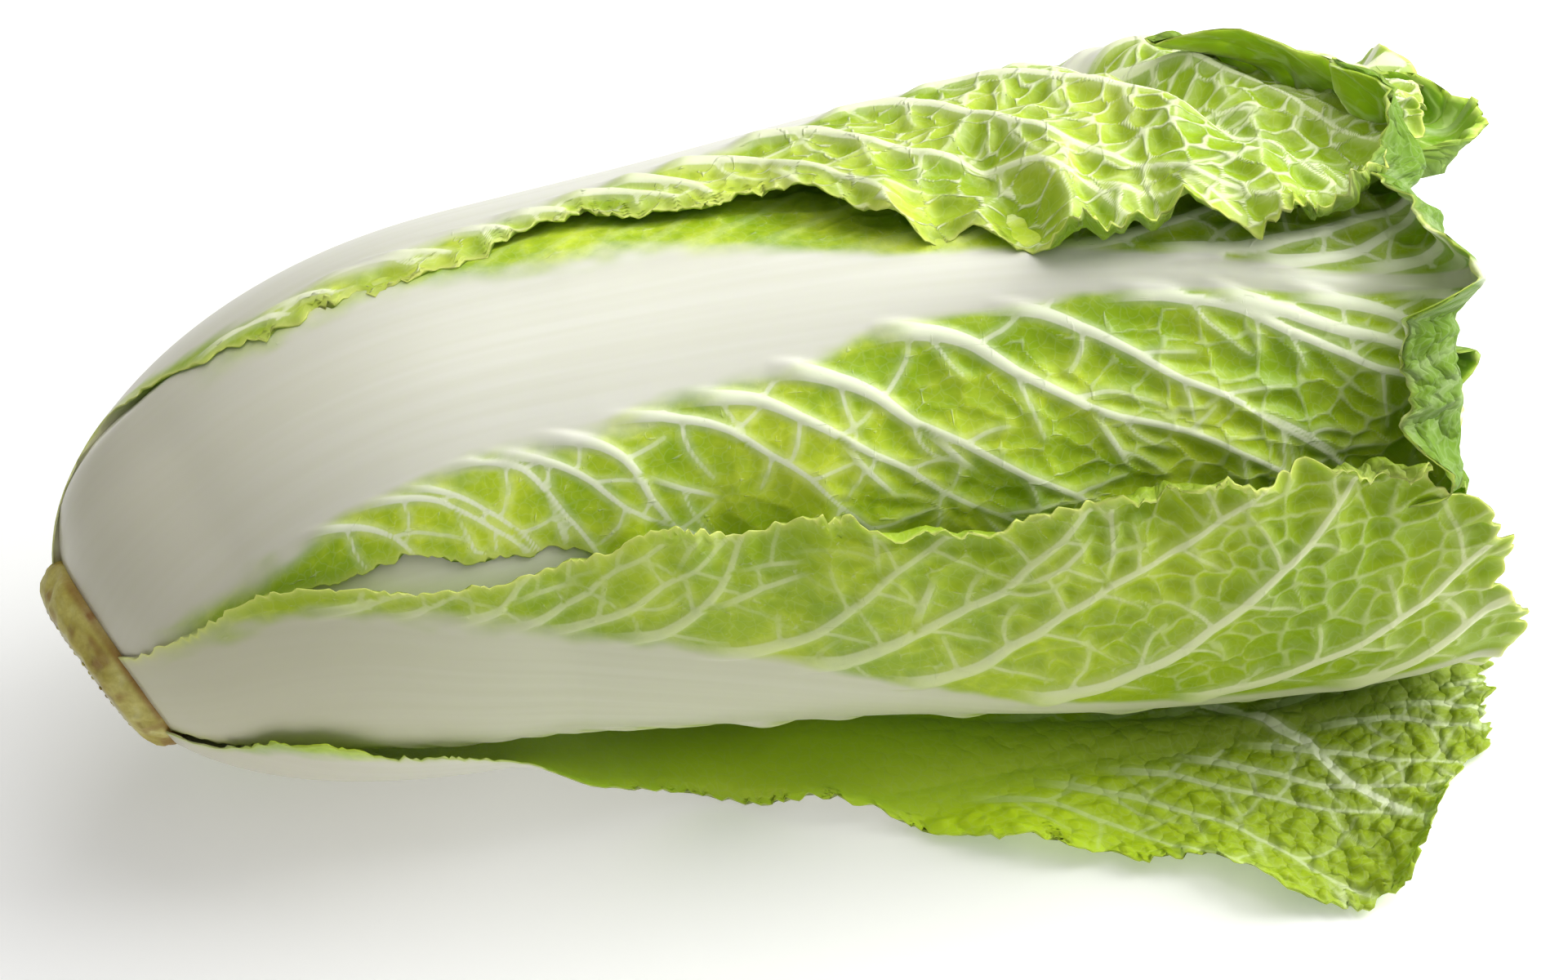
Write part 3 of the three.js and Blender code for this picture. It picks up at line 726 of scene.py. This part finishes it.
def make_leaf(leaf, rows, columns, material, slot):
    """One leaf as a closed shell. The side that shows has a fine mesh, and the other a coarse one."""
    veins = VeinMap(leaf)
    seed = leaf.seed

    # The leaf laid flat: stations and distances from the midrib, out to a toothed edge.
    s = np.linspace(0, 1, rows + 1)[:, None]
    t = np.linspace(-1, 1, columns + 1)[None, :]
    t = t - leaf.dense * (1 - t * t)
    share = np.abs(t)
    sign = np.sign(t)
    tip_line = leaf.tip - leaf.drop * share ** 3 + 3 * grain(t * 70, 1, 11, seed)
    tip_teeth = leaf.teeth * (1.2 * grain(t * 70, 1, 3.2, seed + 1) + 0.8 * grain(t * 70, 1, 1.6, seed + 5))
    forward = s * (1.22 - 0.22 * s)
    x = LEAF_ROOT + (tip_line - LEAF_ROOT) * forward
    half = leaf.half_width(x, t)
    half = half * (1 + 0.045 * grain(x, sign, 19, seed + 2) + 0.02 * grain(x, sign, 7, seed + 3))
    half = half + leaf.lobes * grain(x, sign, 9, seed + 12) * smooth(x, -130, -60)
    saw = np.mod(x / TOOTH + 1.3 * grain(x, sign, 6, seed + 4), 1)
    teeth = (0.7 + 0.8 * grain(x, sign, 9, seed + 13)) * 1.5 * saw * (1 - saw ** 6)
    teeth = leaf.teeth * (teeth + 0.9 * grain(x, sign, 2, seed + 6))
    side = t * half + sign * share ** 7 * teeth
    x = x + forward ** 14 * tip_teeth
    edge_gap = half + teeth * share ** 7 - np.abs(side)
    tip_gap = tip_line + tip_teeth * forward ** 14 - x
    u, v = x - LEAF_ROOT, side
    near, edge_mm, pale, ridge, pucker = (veins.read(name, u, v)
                                          for name in ("near", "edge", "pale", "ridge", "pucker"))

    # Both walls, with the veins, the midrib and the puckers in them.
    stalk = leaf.stalk_half(x)
    quilt_depth = leaf.pucker * mix(leaf.calm, 1, smooth(x, -60, 110))
    middle = quilt_depth * pucker * smooth(np.abs(side), stalk, stalk + 14)
    bulge = 1 - np.clip(np.abs(side) / np.minimum(stalk, half), 0, 1) ** 2
    rib = 1.2 * bulge * smooth(x, -30, 40)
    inwards = smooth(np.minimum(edge_gap, tip_gap), 0, 4)
    thick = mix(EDGE_THICK, BLADE + 0.25 * quilt_depth, inwards)
    thick = thick + along(STALK_THICK, x) * leaf.stalk * bulge
    cords = 0.09 * bulge * grain(x * 0.05, side, 6, seed + 8)
    back = middle - ridge - rib - cords
    front = middle + thick + 0.3 * ridge
    if leaf.opened_midrib:
        back = 0.6 * middle
        front = middle * 1.1 + thick - 0.3 * ridge
    walls = [lay_leaf(leaf, x, side, edge_gap, tip_gap, extra) for extra in (back, front)]
    front_shows = leaf.shows == "front"
    if front_shows:
        walls.reverse()
    fine, coarse = walls[0], walls[1][::2, ::2]
    points = np.concatenate([fine.reshape(-1, 3), coarse.reshape(-1, 3)])
    piece = solid(leaf.name + "_blade", points, *shell_faces(rows, columns), material)

    # What the look depends on: nearness to veins and the rim, whiteness, and the place on the leaf.
    rim = np.exp(-np.maximum(np.minimum(edge_gap, tip_gap), 0))
    tissue = np.stack([near, stalk_whiteness(leaf, x, side, half), rim, edge_mm], -1)
    shown = tissue.copy()
    if front_shows:
        shown[..., 1] *= mix(1, 0.05, smooth(x, -160, -140))
    spot = np.stack([u, v, pale], -1)
    for name, kind, on_fine, on_coarse in (("tissue", "FLOAT_COLOR", shown, tissue),
                                           ("leaf_mm", "FLOAT_VECTOR", spot, spot)):
        size = on_fine.shape[-1]
        values = [on_fine.reshape(-1, size), on_coarse[::2, ::2].reshape(-1, size)]
        paint(piece, name, kind, np.concatenate(values))
    faces_in = np.repeat([front_shows, not front_shows], [fine[..., 0].size, coarse[..., 0].size])
    paint(piece, "inner_face", "FLOAT", faces_in)
    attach(piece, "root")
    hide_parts(leaf.name)
    return piece


def make_tissue_group():
    """The look of leaf tissue, shared by every leaf: green cells between pale veins, a white stalk
    with lengthwise fibres, a pale rim, and the finest net. It puts out a colour and two values."""
    group = bpy.data.node_groups.new("leaf_tissue", "ShaderNodeTree")
    for name in ("Deep", "Fresh", "Inner", "Vein", "Stalk", "Rim"):
        group.interface.new_socket(name, in_out="INPUT", socket_type="NodeSocketColor")
    for name in ("Net", "Finest Net", "Inner Veins", "Age"):
        group.interface.new_socket(name, in_out="INPUT", socket_type="NodeSocketFloat")
    group.interface.new_socket("Color", in_out="OUTPUT", socket_type="NodeSocketColor")
    for name in ("Height", "Roughness"):
        group.interface.new_socket(name, in_out="OUTPUT", socket_type="NodeSocketFloat")
    given = group.nodes.new("NodeGroupInput").outputs

    def times(a, b):
        return math_node(group, "MULTIPLY", a, b)

    def plus(a, b):
        return math_node(group, "ADD", a, b)

    def fade(value, start, end, first, last):
        return result(group, "ShaderNodeMapRange", {0: value, 1: start, 2: end, 3: first, 4: last},
                      interpolation_type="SMOOTHSTEP")

    def cells(scale, feature):
        return node(group, "ShaderNodeTexVoronoi", {"Vector": bent, "Scale": scale}, feature=feature,
                    voronoi_dimensions="2D").outputs["Distance"]

    tissue = attribute(group, "tissue")
    near, stalk, rim = node(group, "ShaderNodeSeparateColor", {"Color": tissue["Color"]}).outputs[0:3]
    edge = tissue["Alpha"]
    spot = attribute(group, "leaf_mm")["Vector"]
    along_leaf, across, pale = node(group, "ShaderNodeSeparateXYZ", {"Vector": spot}).outputs
    inner_face = attribute(group, "inner_face")["Fac"]
    flat = result(group, "ShaderNodeCombineXYZ", {0: along_leaf, 1: across})
    bare = math_node(group, "SUBTRACT", 1.0, stalk, True)

    # Cells and blisters of a few millimetres.
    wide = noise(group, flat, 0.035, 2, dimensions="2D")["Fac"]
    mottle = noise(group, flat, 0.3, 3, dimensions="2D")["Fac"]
    warp = noise(group, flat, 0.35, 1, dimensions="2D")["Color"]
    warp = result(group, "ShaderNodeVectorMath", {0: warp, 1: (2.2, 2.2, 0)}, operation="MULTIPLY")
    bent = result(group, "ShaderNodeVectorMath", {0: flat, 1: warp}, operation="ADD")
    finest = times(fade(cells(0.38, "DISTANCE_TO_EDGE"), 0.01, 0.12, 1.0, 0.0), bare)
    blister = cells(0.22, "F1")

    # Green tissue: deeper in the hollows between the veins, partly its own colour and partly
    # painted shade; deeper towards the tip as painted shade; and its own tone on an inner face,
    # also painted darker towards the tip.
    tone = plus(times(wide, 0.7), times(mottle, 0.3))
    tone = result(group, "ShaderNodeMapRange", {0: tone, 1: 0.36, 2: 0.66})
    green = blend(group, tone, given["Deep"], given["Fresh"])
    # Painted shade: the green is mixed towards the deep green towards the tip.
    green = blend(group, fade(along_leaf, 190.0, 320.0, 0.0, 0.6), green, given["Deep"])
    # Partly the tissue's own deeper green and partly painted shade: the sunk middles of the cells, away
    # from the veins, are mixed towards the deep green.
    hollow_tone_and_shade = fade(math_node(group, "MINIMUM", near, edge), 0.6, 2.6, 0.0, 0.3)
    green = blend(group, hollow_tone_and_shade, green, given["Deep"])
    # Painted shade: the inner face's tone is scaled down towards the tip.
    tip_shade_scale = fade(along_leaf, 180.0, 290.0, 1.0, given["Age"])
    inner_tone = result(group, "ShaderNodeVectorMath", {0: given["Inner"], "Scale": tip_shade_scale},
                        operation="SCALE")
    green = blend(group, times(inner_face, 0.88), green, inner_tone)
    green = blend(group, times(finest, given["Finest Net"]), green, given["Vein"])

    # Veins with a pale halo, and the net between them.
    core = fade(near, -0.2, 0.42, 1.0, 0.0)
    halo = fade(near, 0.0, 2.0, 0.28, 0.0)
    vein = times(pale, math_node(group, "MAXIMUM", core, halo))
    net = times(fade(edge, 0.08, 0.62, 1.0, 0.0), times(bare, given["Net"]))
    seen = fade(inner_face, 0.0, 1.0, 1.0, given["Inner Veins"])
    vein = times(math_node(group, "MAXIMUM", vein, net), seen)
    colour = blend(group, vein, green, given["Vein"])

    # The white stalk with its lengthwise fibres, warmer and darker at the root, partly its own
    # colour and partly painted shade, and the rim.
    fibres = result(group, "ShaderNodeMapping", {"Vector": flat, "Scale": (0.012, 0.35, 1)})
    lines = noise(group, fibres, 1, 1, dimensions="2D")["Fac"]
    shade = ramp(group, lines, (0.3, (0.96, 0.96, 0.93)), (0.7, (1, 1, 1)))
    white = blend(group, 1.0, given["Stalk"], shade, "MULTIPLY")
    # Partly the stalk's own warmer colour and partly painted shade: the root end is mixed towards a dull
    # brownish grey.
    white = blend(group, fade(along_leaf, 5.0, 110.0, 0.55, 0.0), white, (0.60, 0.56, 0.40))
    colour = blend(group, stalk, colour, white)
    colour = blend(group, times(rim, fade(inner_face, 0.0, 1.0, 0.8, 0.25)), colour, given["Rim"])

    # Relief too fine for the mesh. Vein nets are ridges outside and grooves inside.
    outwards = fade(inner_face, 0.0, 1.0, 1.0, -1.0)
    dome = times(times(blister, blister), bare)
    height = plus(times(outwards, times(net, 0.45)), times(times(mottle, bare), 0.08))
    height = plus(height, times(times(dome, inner_face), fade(along_leaf, 150.0, 290.0, -0.2, -2.0)))
    rough = plus(fade(stalk, 0.0, 1.0, 0.40, 0.32), times(inner_face, 0.25))
    node(group, "NodeGroupOutput", {"Color": colour, "Height": height, "Roughness": rough})
    return group


tissue_group = make_tissue_group()


def make_leaf_material(name, colours, stalk=(0.79, 0.79, 0.68), net=0.3, inner_veins=0.12, tip_shade=0.5):
    """Waxy leaf skin over moist tissue that light passes into. The colours are those of the deep and
    the fresh cells, the inner face, the veins and the rim."""
    material, tree, shader = new_material(name)
    look = node(tree, "ShaderNodeGroup", node_tree=tissue_group)
    for socket, colour in zip(("Deep", "Fresh", "Inner", "Vein", "Rim", "Stalk"), (*colours, stalk)):
        wire(tree, look, {socket: (*colour, 1)})
    wire(tree, look, {"Net": net, "Finest Net": 0.06, "Inner Veins": inner_veins, "Age": tip_shade})
    colour, height, rough = look.outputs
    bump = result(tree, "ShaderNodeBump", {"Strength": 1, "Distance": 0.001, "Height": height})
    shader.subsurface_method = "BURLEY"
    wire(tree, shader, {"Base Color": colour, "Roughness": rough, "Normal": bump,
                        "Specular IOR Level": 0.3, "Subsurface Weight": 0.3,
                        "Subsurface Radius": (0.7, 1.0, 0.25), "Subsurface Scale": 0.0014})
    return material


OUTER_LEAVES = [
    Leaf(name="outer_leaf_1", seed=101, tip=160, depths=(1, 0, 0), ruffle=(0, 0), tip_in=0,
         phase=0, midrib=[(-164, -62), (-60, -62), (166, -60)],
         left=[(-164, 20), (-150, 30), (-120, 36), (-60, 50), (0, 68), (80, 82), (140, 80)],
         right=[(-164, 22), (-148, 41), (-130, 48), (-100, 43), (-60, 30), (-35, 14), (0, 19), (36, 33),
                (78, 46), (100, 62), (120, 57), (145, 38)],
         opened=(-85, -15),
         opened_midrib=[(-90, -32), (-40, -37), (0, -44), (50, -53), (110, -60), (160, -55)],
         shows="front", dense=-0.2, curl=(0, 0.35, 0.4), loose=-30, crumple=0.9, frill=0.8, teeth=1.8,
         vein=0.8, white=0.3, relief=0.7, steep=(40, 34), stalk_sides=(1, 1.75),
         bold=[(92, -8), (104, 0), (112, 9), (117, 24), (127, 40)],
         net=5.4, quilt=0.75, pucker=2.2, calm=0.2),
    Leaf(name="outer_leaf_2", seed=202, tip=169, depths=(3, 1, 3), ruffle=(7, 5), tip_in=8,
         phase=0.53, floor=7, midrib=[(-164, 134), (-60, 134), (166, 138)],
         left=[(-164, 4), (-150, 4), (-140, 6), (-130, 18), (-120, 28), (-108, 34), (-66, 37), (-40, 35),
               (-3, 42), (25, 60), (60, 81), (95, 95), (145, 82)],
         right=[(-164, 24), (-150, 33), (-120, 42), (-60, 53), (0, 70), (70, 87), (110, 90), (145, 78)],
         dense=0.2, curl=(1.5, 0.3, 1.2), band=(9, 8, 12), loose=-15, flat_end=1, wave_from=-40,
         folds=[(84, -2, 112, -66, 6, 9), (52, -50, 58, -92, 6, 7)],
         crumple=2.4, frill=2.2, teeth=1.7, lobes=3.5, vein=1.5, relief=1.3, steep=(50, 42),
         branch_gap=9, stalk_sides=(1.2, 1), white_share=0.8, white_root=(-144, -126),
         net=7, quilt=0.5, pucker=3.0, calm=0.6),
    Leaf(name="outer_leaf_3", seed=303, tip=152, depths=(8.5, 4, 4), ruffle=(-2, 4), tip_in=-4,
         phase=1.1, floor=7,
         midrib=[(-164, 14), (-120, 12), (-88, 2), (-52, -7), (-24, -14), (12, -23), (60, -33),
                 (110, -36), (165, -34)],
         left=[(-164, 12), (-120, 32), (-60, 44), (0, 50), (80, 50), (140, 46)],
         right=[(-164, 12), (-130, 22), (-92, 26), (-50, 40), (-15, 52), (33, 60), (70, 70), (110, 72),
                (145, 60)],
         drop=22, stand_off=[(-60, 0), (15, 7), (55, 12), (105, 16), (140, 20), (160, 22)],
         dense=-0.2, curl=(0, 1.6, 0.6), band=(4, 5, 8), crumple=0.6, frill=0.8, teeth=1.5,
         vein_seed=21, vein=1.6, white=0.6, relief=0.9, steep=(48, 36), spacing=34, forks=(0.35, 0.65),
         stalk_sides=(1.2, 0.7), net=7, quilt=0.5, pucker=3.0, calm=0.06),
    Leaf(name="outer_leaf_4", seed=404, tip=158, depths=(10, 7, 10), ruffle=(-2.5, -2.5),
         tip_in=2, phase=2, floor=9, midrib=[(-164, 217), (158, 214)],
         left=[(-164, 26), (-150, 34), (-120, 42), (-60, 48), (0, 58), (80, 66), (140, 60)],
         right=[(-164, 26), (-150, 34), (-120, 42), (-60, 48), (0, 56), (80, 62), (140, 56)],
         curl=(0, 0, 1.6), cell=0.7, pucker=1.3),
    Leaf(name="outer_leaf_5", seed=505, tip=172, depths=(7.2, 7, 10), ruffle=(-2.5, -2.5),
         tip_in=3, phase=3.1, floor=9,
         midrib=[(-164, 72), (-100, 73), (-15, 71), (36, 67), (88, 59), (123, 51), (162, 46)],
         left=[(-164, 18), (-148, 27), (-130, 34), (-97, 42), (-60, 53), (0, 70), (60, 84), (110, 86),
               (145, 72)],
         right=[(-164, 34), (-150, 46), (-140, 52), (-130, 49), (-118, 46), (-97, 44), (-60, 47),
                (0, 62), (80, 80), (140, 74)],
         raised=[(-164, 1.5), (-150, 4.5), (-140, 6), (-112, 6), (-80, 5), (-20, 3.5), (30, 0), (160, 0)],
         dense=0.2, curl=(0, 0, 2.9), band=(6, 6, 26), even=0.7, fold_lobes=5, crumple=1.0, frill=0.8,
         teeth=1.6, vein=1.35, plain=1, steep=(60, 22), spacing=24, forks=(0.35, 0.7), branch_gap=12,
         white_right=(-125, -95), net=8.5, quilt=0.35, pucker=2.2, calm=0.1),
]
# The inner colour is partly the inner face's own deeper green and partly painted shade on the rolled tip of
# outer_leaf_5.
leaf_green = make_leaf_material(
    "leaf_green", [(0.28, 0.45, 0.006), (0.62, 0.76, 0.04), (0.20, 0.44, 0.002), (0.88, 0.93, 0.68),
                   (0.62, 0.70, 0.16)])
leaf_light = make_leaf_material(
    "leaf_light", [(0.28, 0.43, 0.008), (0.54, 0.66, 0.055), (0.26, 0.46, 0.004), (0.89, 0.93, 0.64),
                   (0.70, 0.76, 0.20)], net=0.72)
# Painted shade: darker greens and a greyer stalk than the other leaves, for outer_leaf_3, which faces away
# from the light.
leaf_shaded = make_leaf_material(
    "leaf_shaded", [(0.28, 0.43, 0.006), (0.50, 0.64, 0.022), (0.28, 0.42, 0.006), (0.82, 0.86, 0.52),
                    (0.74, 0.78, 0.22)], stalk=(0.68, 0.69, 0.50))
# Painted light: the inner face's colour is very bright so that the opened leaf stays bright where the
# leaves above shade it, and its tip is toned down as painted shade.
leaf_open = make_leaf_material(
    "leaf_open", [(0.24, 0.42, 0.004), (0.60, 0.80, 0.03), (0.62, 0.84, 0.012), (0.86, 0.92, 0.66),
                  (0.50, 0.62, 0.10)], net=0.08, inner_veins=0.6, tip_shade=0.42)
OUTER_GRID = (344, 212)
HIDDEN_GRID = (180, 90)
OUTER_SKINS = {"outer_leaf_1": leaf_open, "outer_leaf_2": leaf_light, "outer_leaf_3": leaf_shaded,
               "outer_leaf_4": leaf_green, "outer_leaf_5": leaf_green}
for leaf in OUTER_LEAVES:
    mesh_size = HIDDEN_GRID if leaf.name == "outer_leaf_4" else OUTER_GRID
    make_leaf(leaf, *mesh_size, OUTER_SKINS[leaf.name], "leaf_outer")

# ----------------------------------------------------------------------------------- inner leaves
# Five paler leaves fill the gaps between the outer ones. Little light reaches them, so they stay
# tender and yellow-green, and only their stalks and curled tips show.
INNER_GRID = (140, 72)
INNER_LEAVES = [
    dict(angle=27, tip=165, depths=(18, 12.5, 18), tip_in=9,
         stand_off=[(-164, 0), (-120, 3.5), (-60, 3.5), (-5, 0), (170, 0)]),
    dict(angle=105, tip=184, tip_in=1),
    dict(angle=178, tip=162),
    dict(angle=250, tip=164),
    dict(angle=325, tip=168),
]


class InnerLeaf(Leaf):
    """The usual values of an inner leaf."""

    left = [(-164, 7), (-145, 16), (-120, 26), (-60, 36), (0, 44), (80, 46), (140, 38)]
    right = [(-164, 7), (-145, 16), (-120, 26), (-60, 36), (0, 44), (80, 48), (140, 40)]
    depths, ruffle, tip_in, floor, wing_from, root_in = (18, 16, 18), (-1.6, 0), 4, 14, 0.3, 1
    curl, band, even, fold_lobes = (0, 0, 2.7), (8, 8, 15), 0.5, 5
    frill, crumple, lobes, teeth, vein, cell = 1.6, 1.5, 2.5, 1.4, 0.8, 0.8
    net, quilt, pucker, calm, stalk, stalk_end = 6, 0.6, 1.7, 0.2, 0.85, 0.15


leaf_pale = make_leaf_material(
    "leaf_pale", [(0.18, 0.36, 0.004), (0.40, 0.58, 0.03), (0.26, 0.48, 0.004), (0.52, 0.68, 0.20),
                  (0.52, 0.64, 0.10)], stalk=(0.88, 0.90, 0.70), inner_veins=0.3)
for k, own in enumerate(INNER_LEAVES):
    inner = InnerLeaf(name=f"inner_leaf_{k + 1}", seed=601 + 10 * k, phase=1.3 * k, **own)
    inner.midrib = [(-164, inner.angle), (160, inner.angle)]
    make_leaf(inner, *INNER_GRID, leaf_pale, "leaf_inner")

# ------------------------------------------------------------------------------------------ heart
# The heart is the dense bud of young leaves. Each one cups the next, turned by the same angle from
# the one before, and their crimped pale yellow tips stand out of the tightly packed middle.
HEART_DEPTH = 24
HEART_FLOOR = 21
YOUNG_WALL = 0.035
YOUNG_HALF_TURN = math.radians(72)


def make_heart_material():
    """Tender yellow leaf with fine pale lengthwise veins."""
    material, tree, shader = new_material("heart_leaves")
    spot = node(tree, "ShaderNodeTexCoord").outputs["Object"]
    wide = noise(tree, spot, 60, 4)["Fac"]
    streak = result(tree, "ShaderNodeMapping", {"Vector": spot, "Scale": (0.2, 1, 1)})
    veins = result(tree, "ShaderNodeTexVoronoi", {"Vector": streak, "Scale": 210},
                   feature="DISTANCE_TO_EDGE")
    line = result(tree, "ShaderNodeMapRange", {0: veins, 1: 0.02, 2: 0.2, 3: 1.0, 4: 0.0})
    body = ramp(tree, wide, (0.3, (0.50, 0.58, 0.12)), (0.7, (0.78, 0.80, 0.34)))
    colour = blend(tree, line, body, (0.86, 0.88, 0.62))
    bump = result(tree, "ShaderNodeBump", {"Strength": 0.5, "Distance": 0.0006, "Height": line})
    wire(tree, shader, {"Base Color": colour, "Normal": bump, "Roughness": 0.42,
                        "Subsurface Weight": 0.35, "Subsurface Radius": (0.8, 1.0, 0.3),
                        "Subsurface Scale": 0.002})
    return material


def make_young_leaf(material):
    """One young leaf tip of unit radius round the X axis: a thin cupped shell with a frilled end."""
    rows, columns = 24, 40
    s = np.linspace(0, 1, rows + 1)[:, None]
    t = np.linspace(-1, 1, columns + 1)[None, :]
    end = 82 - 17 * np.abs(t) ** 3.2 + 1.6 * grain(t * 40, 1, 5, 71)
    x = end * s
    closing = 1 - 0.20 * s ** 3
    frill = 0.035 * s ** 4 * np.sin(t * 17) + 0.02 * s ** 2 * grain(x, t * 40, 6, 72)
    angle = t * YOUNG_HALF_TURN
    layers = []
    for wall in (0, YOUNG_WALL):
        radius = (closing + frill - wall) * 1000
        layers += [np.stack([x, -radius * np.cos(angle), radius * np.sin(angle)], -1).reshape(-1, 3)]
    count = len(layers[0])
    loop = [i * (columns + 1) + j for i, j in border(rows, columns)]
    rim = [(a, b, b + count, a + count) for a, b in zip(loop, loop[1:] + loop[:1])]
    quads = np.concatenate([grid(rows, columns), grid(rows, columns, count)[:, ::-1], rim])
    return solid("young_leaf", np.concatenate(layers), quads, [], material)


def make_heart_core(material):
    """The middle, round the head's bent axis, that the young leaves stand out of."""
    angle = np.linspace(0, 2 * np.pi, 72, endpoint=False)
    rings = [place(np.float64(LEAF_ROOT), angle, depth) for depth in (40, 34, 28)]
    for x in np.linspace(LEAF_ROOT, 100, 60):
        fold = 0.8 * np.sin(5 * angle + x / 60) * smooth(x, -150, -60)
        ring = place(x, angle, HEART_DEPTH + 1.5 + fold)
        set_down(ring, HEART_FLOOR)
        rings.append(ring)
    return rings_solid("heart_bud", round_axis(-124.5, 0, 0), rings, round_axis(118, 0, 0), material)


def make_bud_tree(young_leaf, material):
    """Geometry Nodes: copies of the young leaf, each turned and drawn in a step from the last."""
    tree, given = new_geometry_tree("heart_bud", ("Leaves", "Seed"), ("Turn", "Outer Radius", "Step"))

    def math_of(operation, a, b):
        return math_node(tree, operation, a, b)

    index = result(tree, "GeometryNodeInputIndex")
    points = result(tree, "GeometryNodePoints", {"Count": given["Leaves"]})
    seed = given["Seed"]
    shift = node(tree, "FunctionNodeRandomValue", {2: -0.0035, 3: 0.0035, "ID": index, "Seed": seed},
                 data_type="FLOAT").outputs[1]
    radius = math_of("SUBTRACT", given["Outer Radius"], math_of("MULTIPLY", index, given["Step"]))
    start = math_of("ADD", math_of("MULTIPLY", index, -0.0006), shift)
    where = result(tree, "ShaderNodeCombineXYZ", {0: math_of("ADD", start, 0.074)})
    points = result(tree, "GeometryNodeSetPosition", {"Geometry": points, "Position": where})
    turn = result(tree, "ShaderNodeCombineXYZ", {0: math_of("MULTIPLY", index, given["Turn"])})
    size = result(tree, "ShaderNodeCombineXYZ", {0: 1.0, 1: radius, 2: radius})
    blade = node(tree, "GeometryNodeObjectInfo", {"Object": young_leaf}).outputs["Geometry"]
    copies = result(tree, "GeometryNodeInstanceOnPoints",
                    {"Points": points, "Instance": blade, "Scale": size, "Rotation": turn})
    real = result(tree, "GeometryNodeRealizeInstances", {0: copies})
    lift = (0, 0, AXIS_HEIGHT / 1000)
    lean = result(tree, "GeometryNodeTransform",
                  {"Geometry": real, "Translation": lift, "Rotation": (0, -AXIS_PITCH, 0)})
    whole = node(tree, "GeometryNodeJoinGeometry", {0: lean})
    wire(tree, whole, {0: given["Geometry"]})
    smooth_all = result(tree, "GeometryNodeSetShadeSmooth", {"Geometry": whole.outputs[0]})
    dressed = result(tree, "GeometryNodeSetMaterial", {"Geometry": smooth_all, "Material": material})
    node(tree, "NodeGroupOutput", {0: dressed})
    return tree


heart_material = make_heart_material()
young_leaf = make_young_leaf(heart_material)
heart = make_heart_core(heart_material)
bake(heart, make_bud_tree(young_leaf, heart_material),
     {"Leaves": 11, "Turn": math.radians(137.5), "Outer Radius": 0.0465, "Step": 0.0036, "Seed": 4})
bpy.data.objects.remove(young_leaf)
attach(heart, "root")
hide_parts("heart")

# ------------------------------------------------------------------------------- table and lights
# The head lies on a plain pale table. A large soft window light comes in low over the leaf tips,
# with a softer one from the sky behind the head, a weak one from the ceiling and a pale room.
AZIMUTH, ELEVATION, ROLL = math.radians(-11), math.radians(45), math.radians(-3)
DISTANCE = 1.0
SENSOR_MM = 36
LENS_MM = 97.66
AIM_HEIGHT = 0.071
AIM_RIGHT = 0.0023
AIM_DOWN = 0.0154
TABLE_TOP = -0.0003
LIT_POINT = Vector((0, 0, 0.07))
table_mesh = bpy.data.meshes.new("table")
table_corners = [(x, y, TABLE_TOP) for x, y in ((-4, -4), (4, -4), (4, 4), (-4, 4))]
table_mesh.from_pydata(table_corners, [], [(0, 1, 2, 3)])
table = bpy.data.objects.new("table", table_mesh)
bpy.context.scene.collection.objects.link(table)
table_material, table_tree, table_shader = new_material("table_white")
wire(table_tree, table_shader, {"Base Color": (0.93, 0.93, 0.92, 1), "Roughness": 0.7,
                                "Emission Color": (1, 1, 1, 1), "Emission Strength": 0.22})
table_mesh.materials.append(table_material)


def add_light(name, place_at, size, power):
    """A square soft white light that faces the head."""
    light = bpy.data.lights.new(name, "AREA")
    light.size = size
    light.energy = power
    lamp = bpy.data.objects.new(name, light)
    lamp.location = place_at
    lamp.rotation_euler = (LIT_POINT - Vector(place_at)).to_track_quat("-Z", "Y").to_euler()
    bpy.context.scene.collection.objects.link(lamp)


add_light("window", (0.72, 0.0, 0.5), 0.6, 7.6)
add_light("skylight", (0.2, 0.2, 0.8), 0.8, 3.7)
add_light("ceiling", (0.1, -0.6, 1.45), 0.9, 2)
world = bpy.data.worlds.new("studio")
world.use_nodes = True
wire(world.node_tree, world.node_tree.nodes["Background"], {"Color": (1, 1, 1, 1), "Strength": 0.28})
bpy.context.scene.world = world
bpy.context.scene.view_settings.view_transform = "Standard"

back = Vector((math.sin(AZIMUTH) * math.cos(ELEVATION), -math.cos(AZIMUTH) * math.cos(ELEVATION),
               math.sin(ELEVATION)))
level_right = (-back).cross(Vector((0, 0, 1))).normalized()
level_up = level_right.cross(-back)
right = math.cos(ROLL) * level_right + math.sin(ROLL) * level_up
up = -math.sin(ROLL) * level_right + math.cos(ROLL) * level_up
aim = Vector((0, 0, AIM_HEIGHT)) + AIM_RIGHT * right - AIM_DOWN * up
camera_data = bpy.data.cameras.new("camera")
camera_data.sensor_width = SENSOR_MM
camera_data.lens = LENS_MM
camera = bpy.data.objects.new("camera", camera_data)
bpy.context.scene.collection.objects.link(camera)
turned = Matrix((right, up, back)).transposed().to_4x4()
camera.matrix_world = Matrix.Translation(aim + back * DISTANCE) @ turned
bpy.context.scene.camera = camera
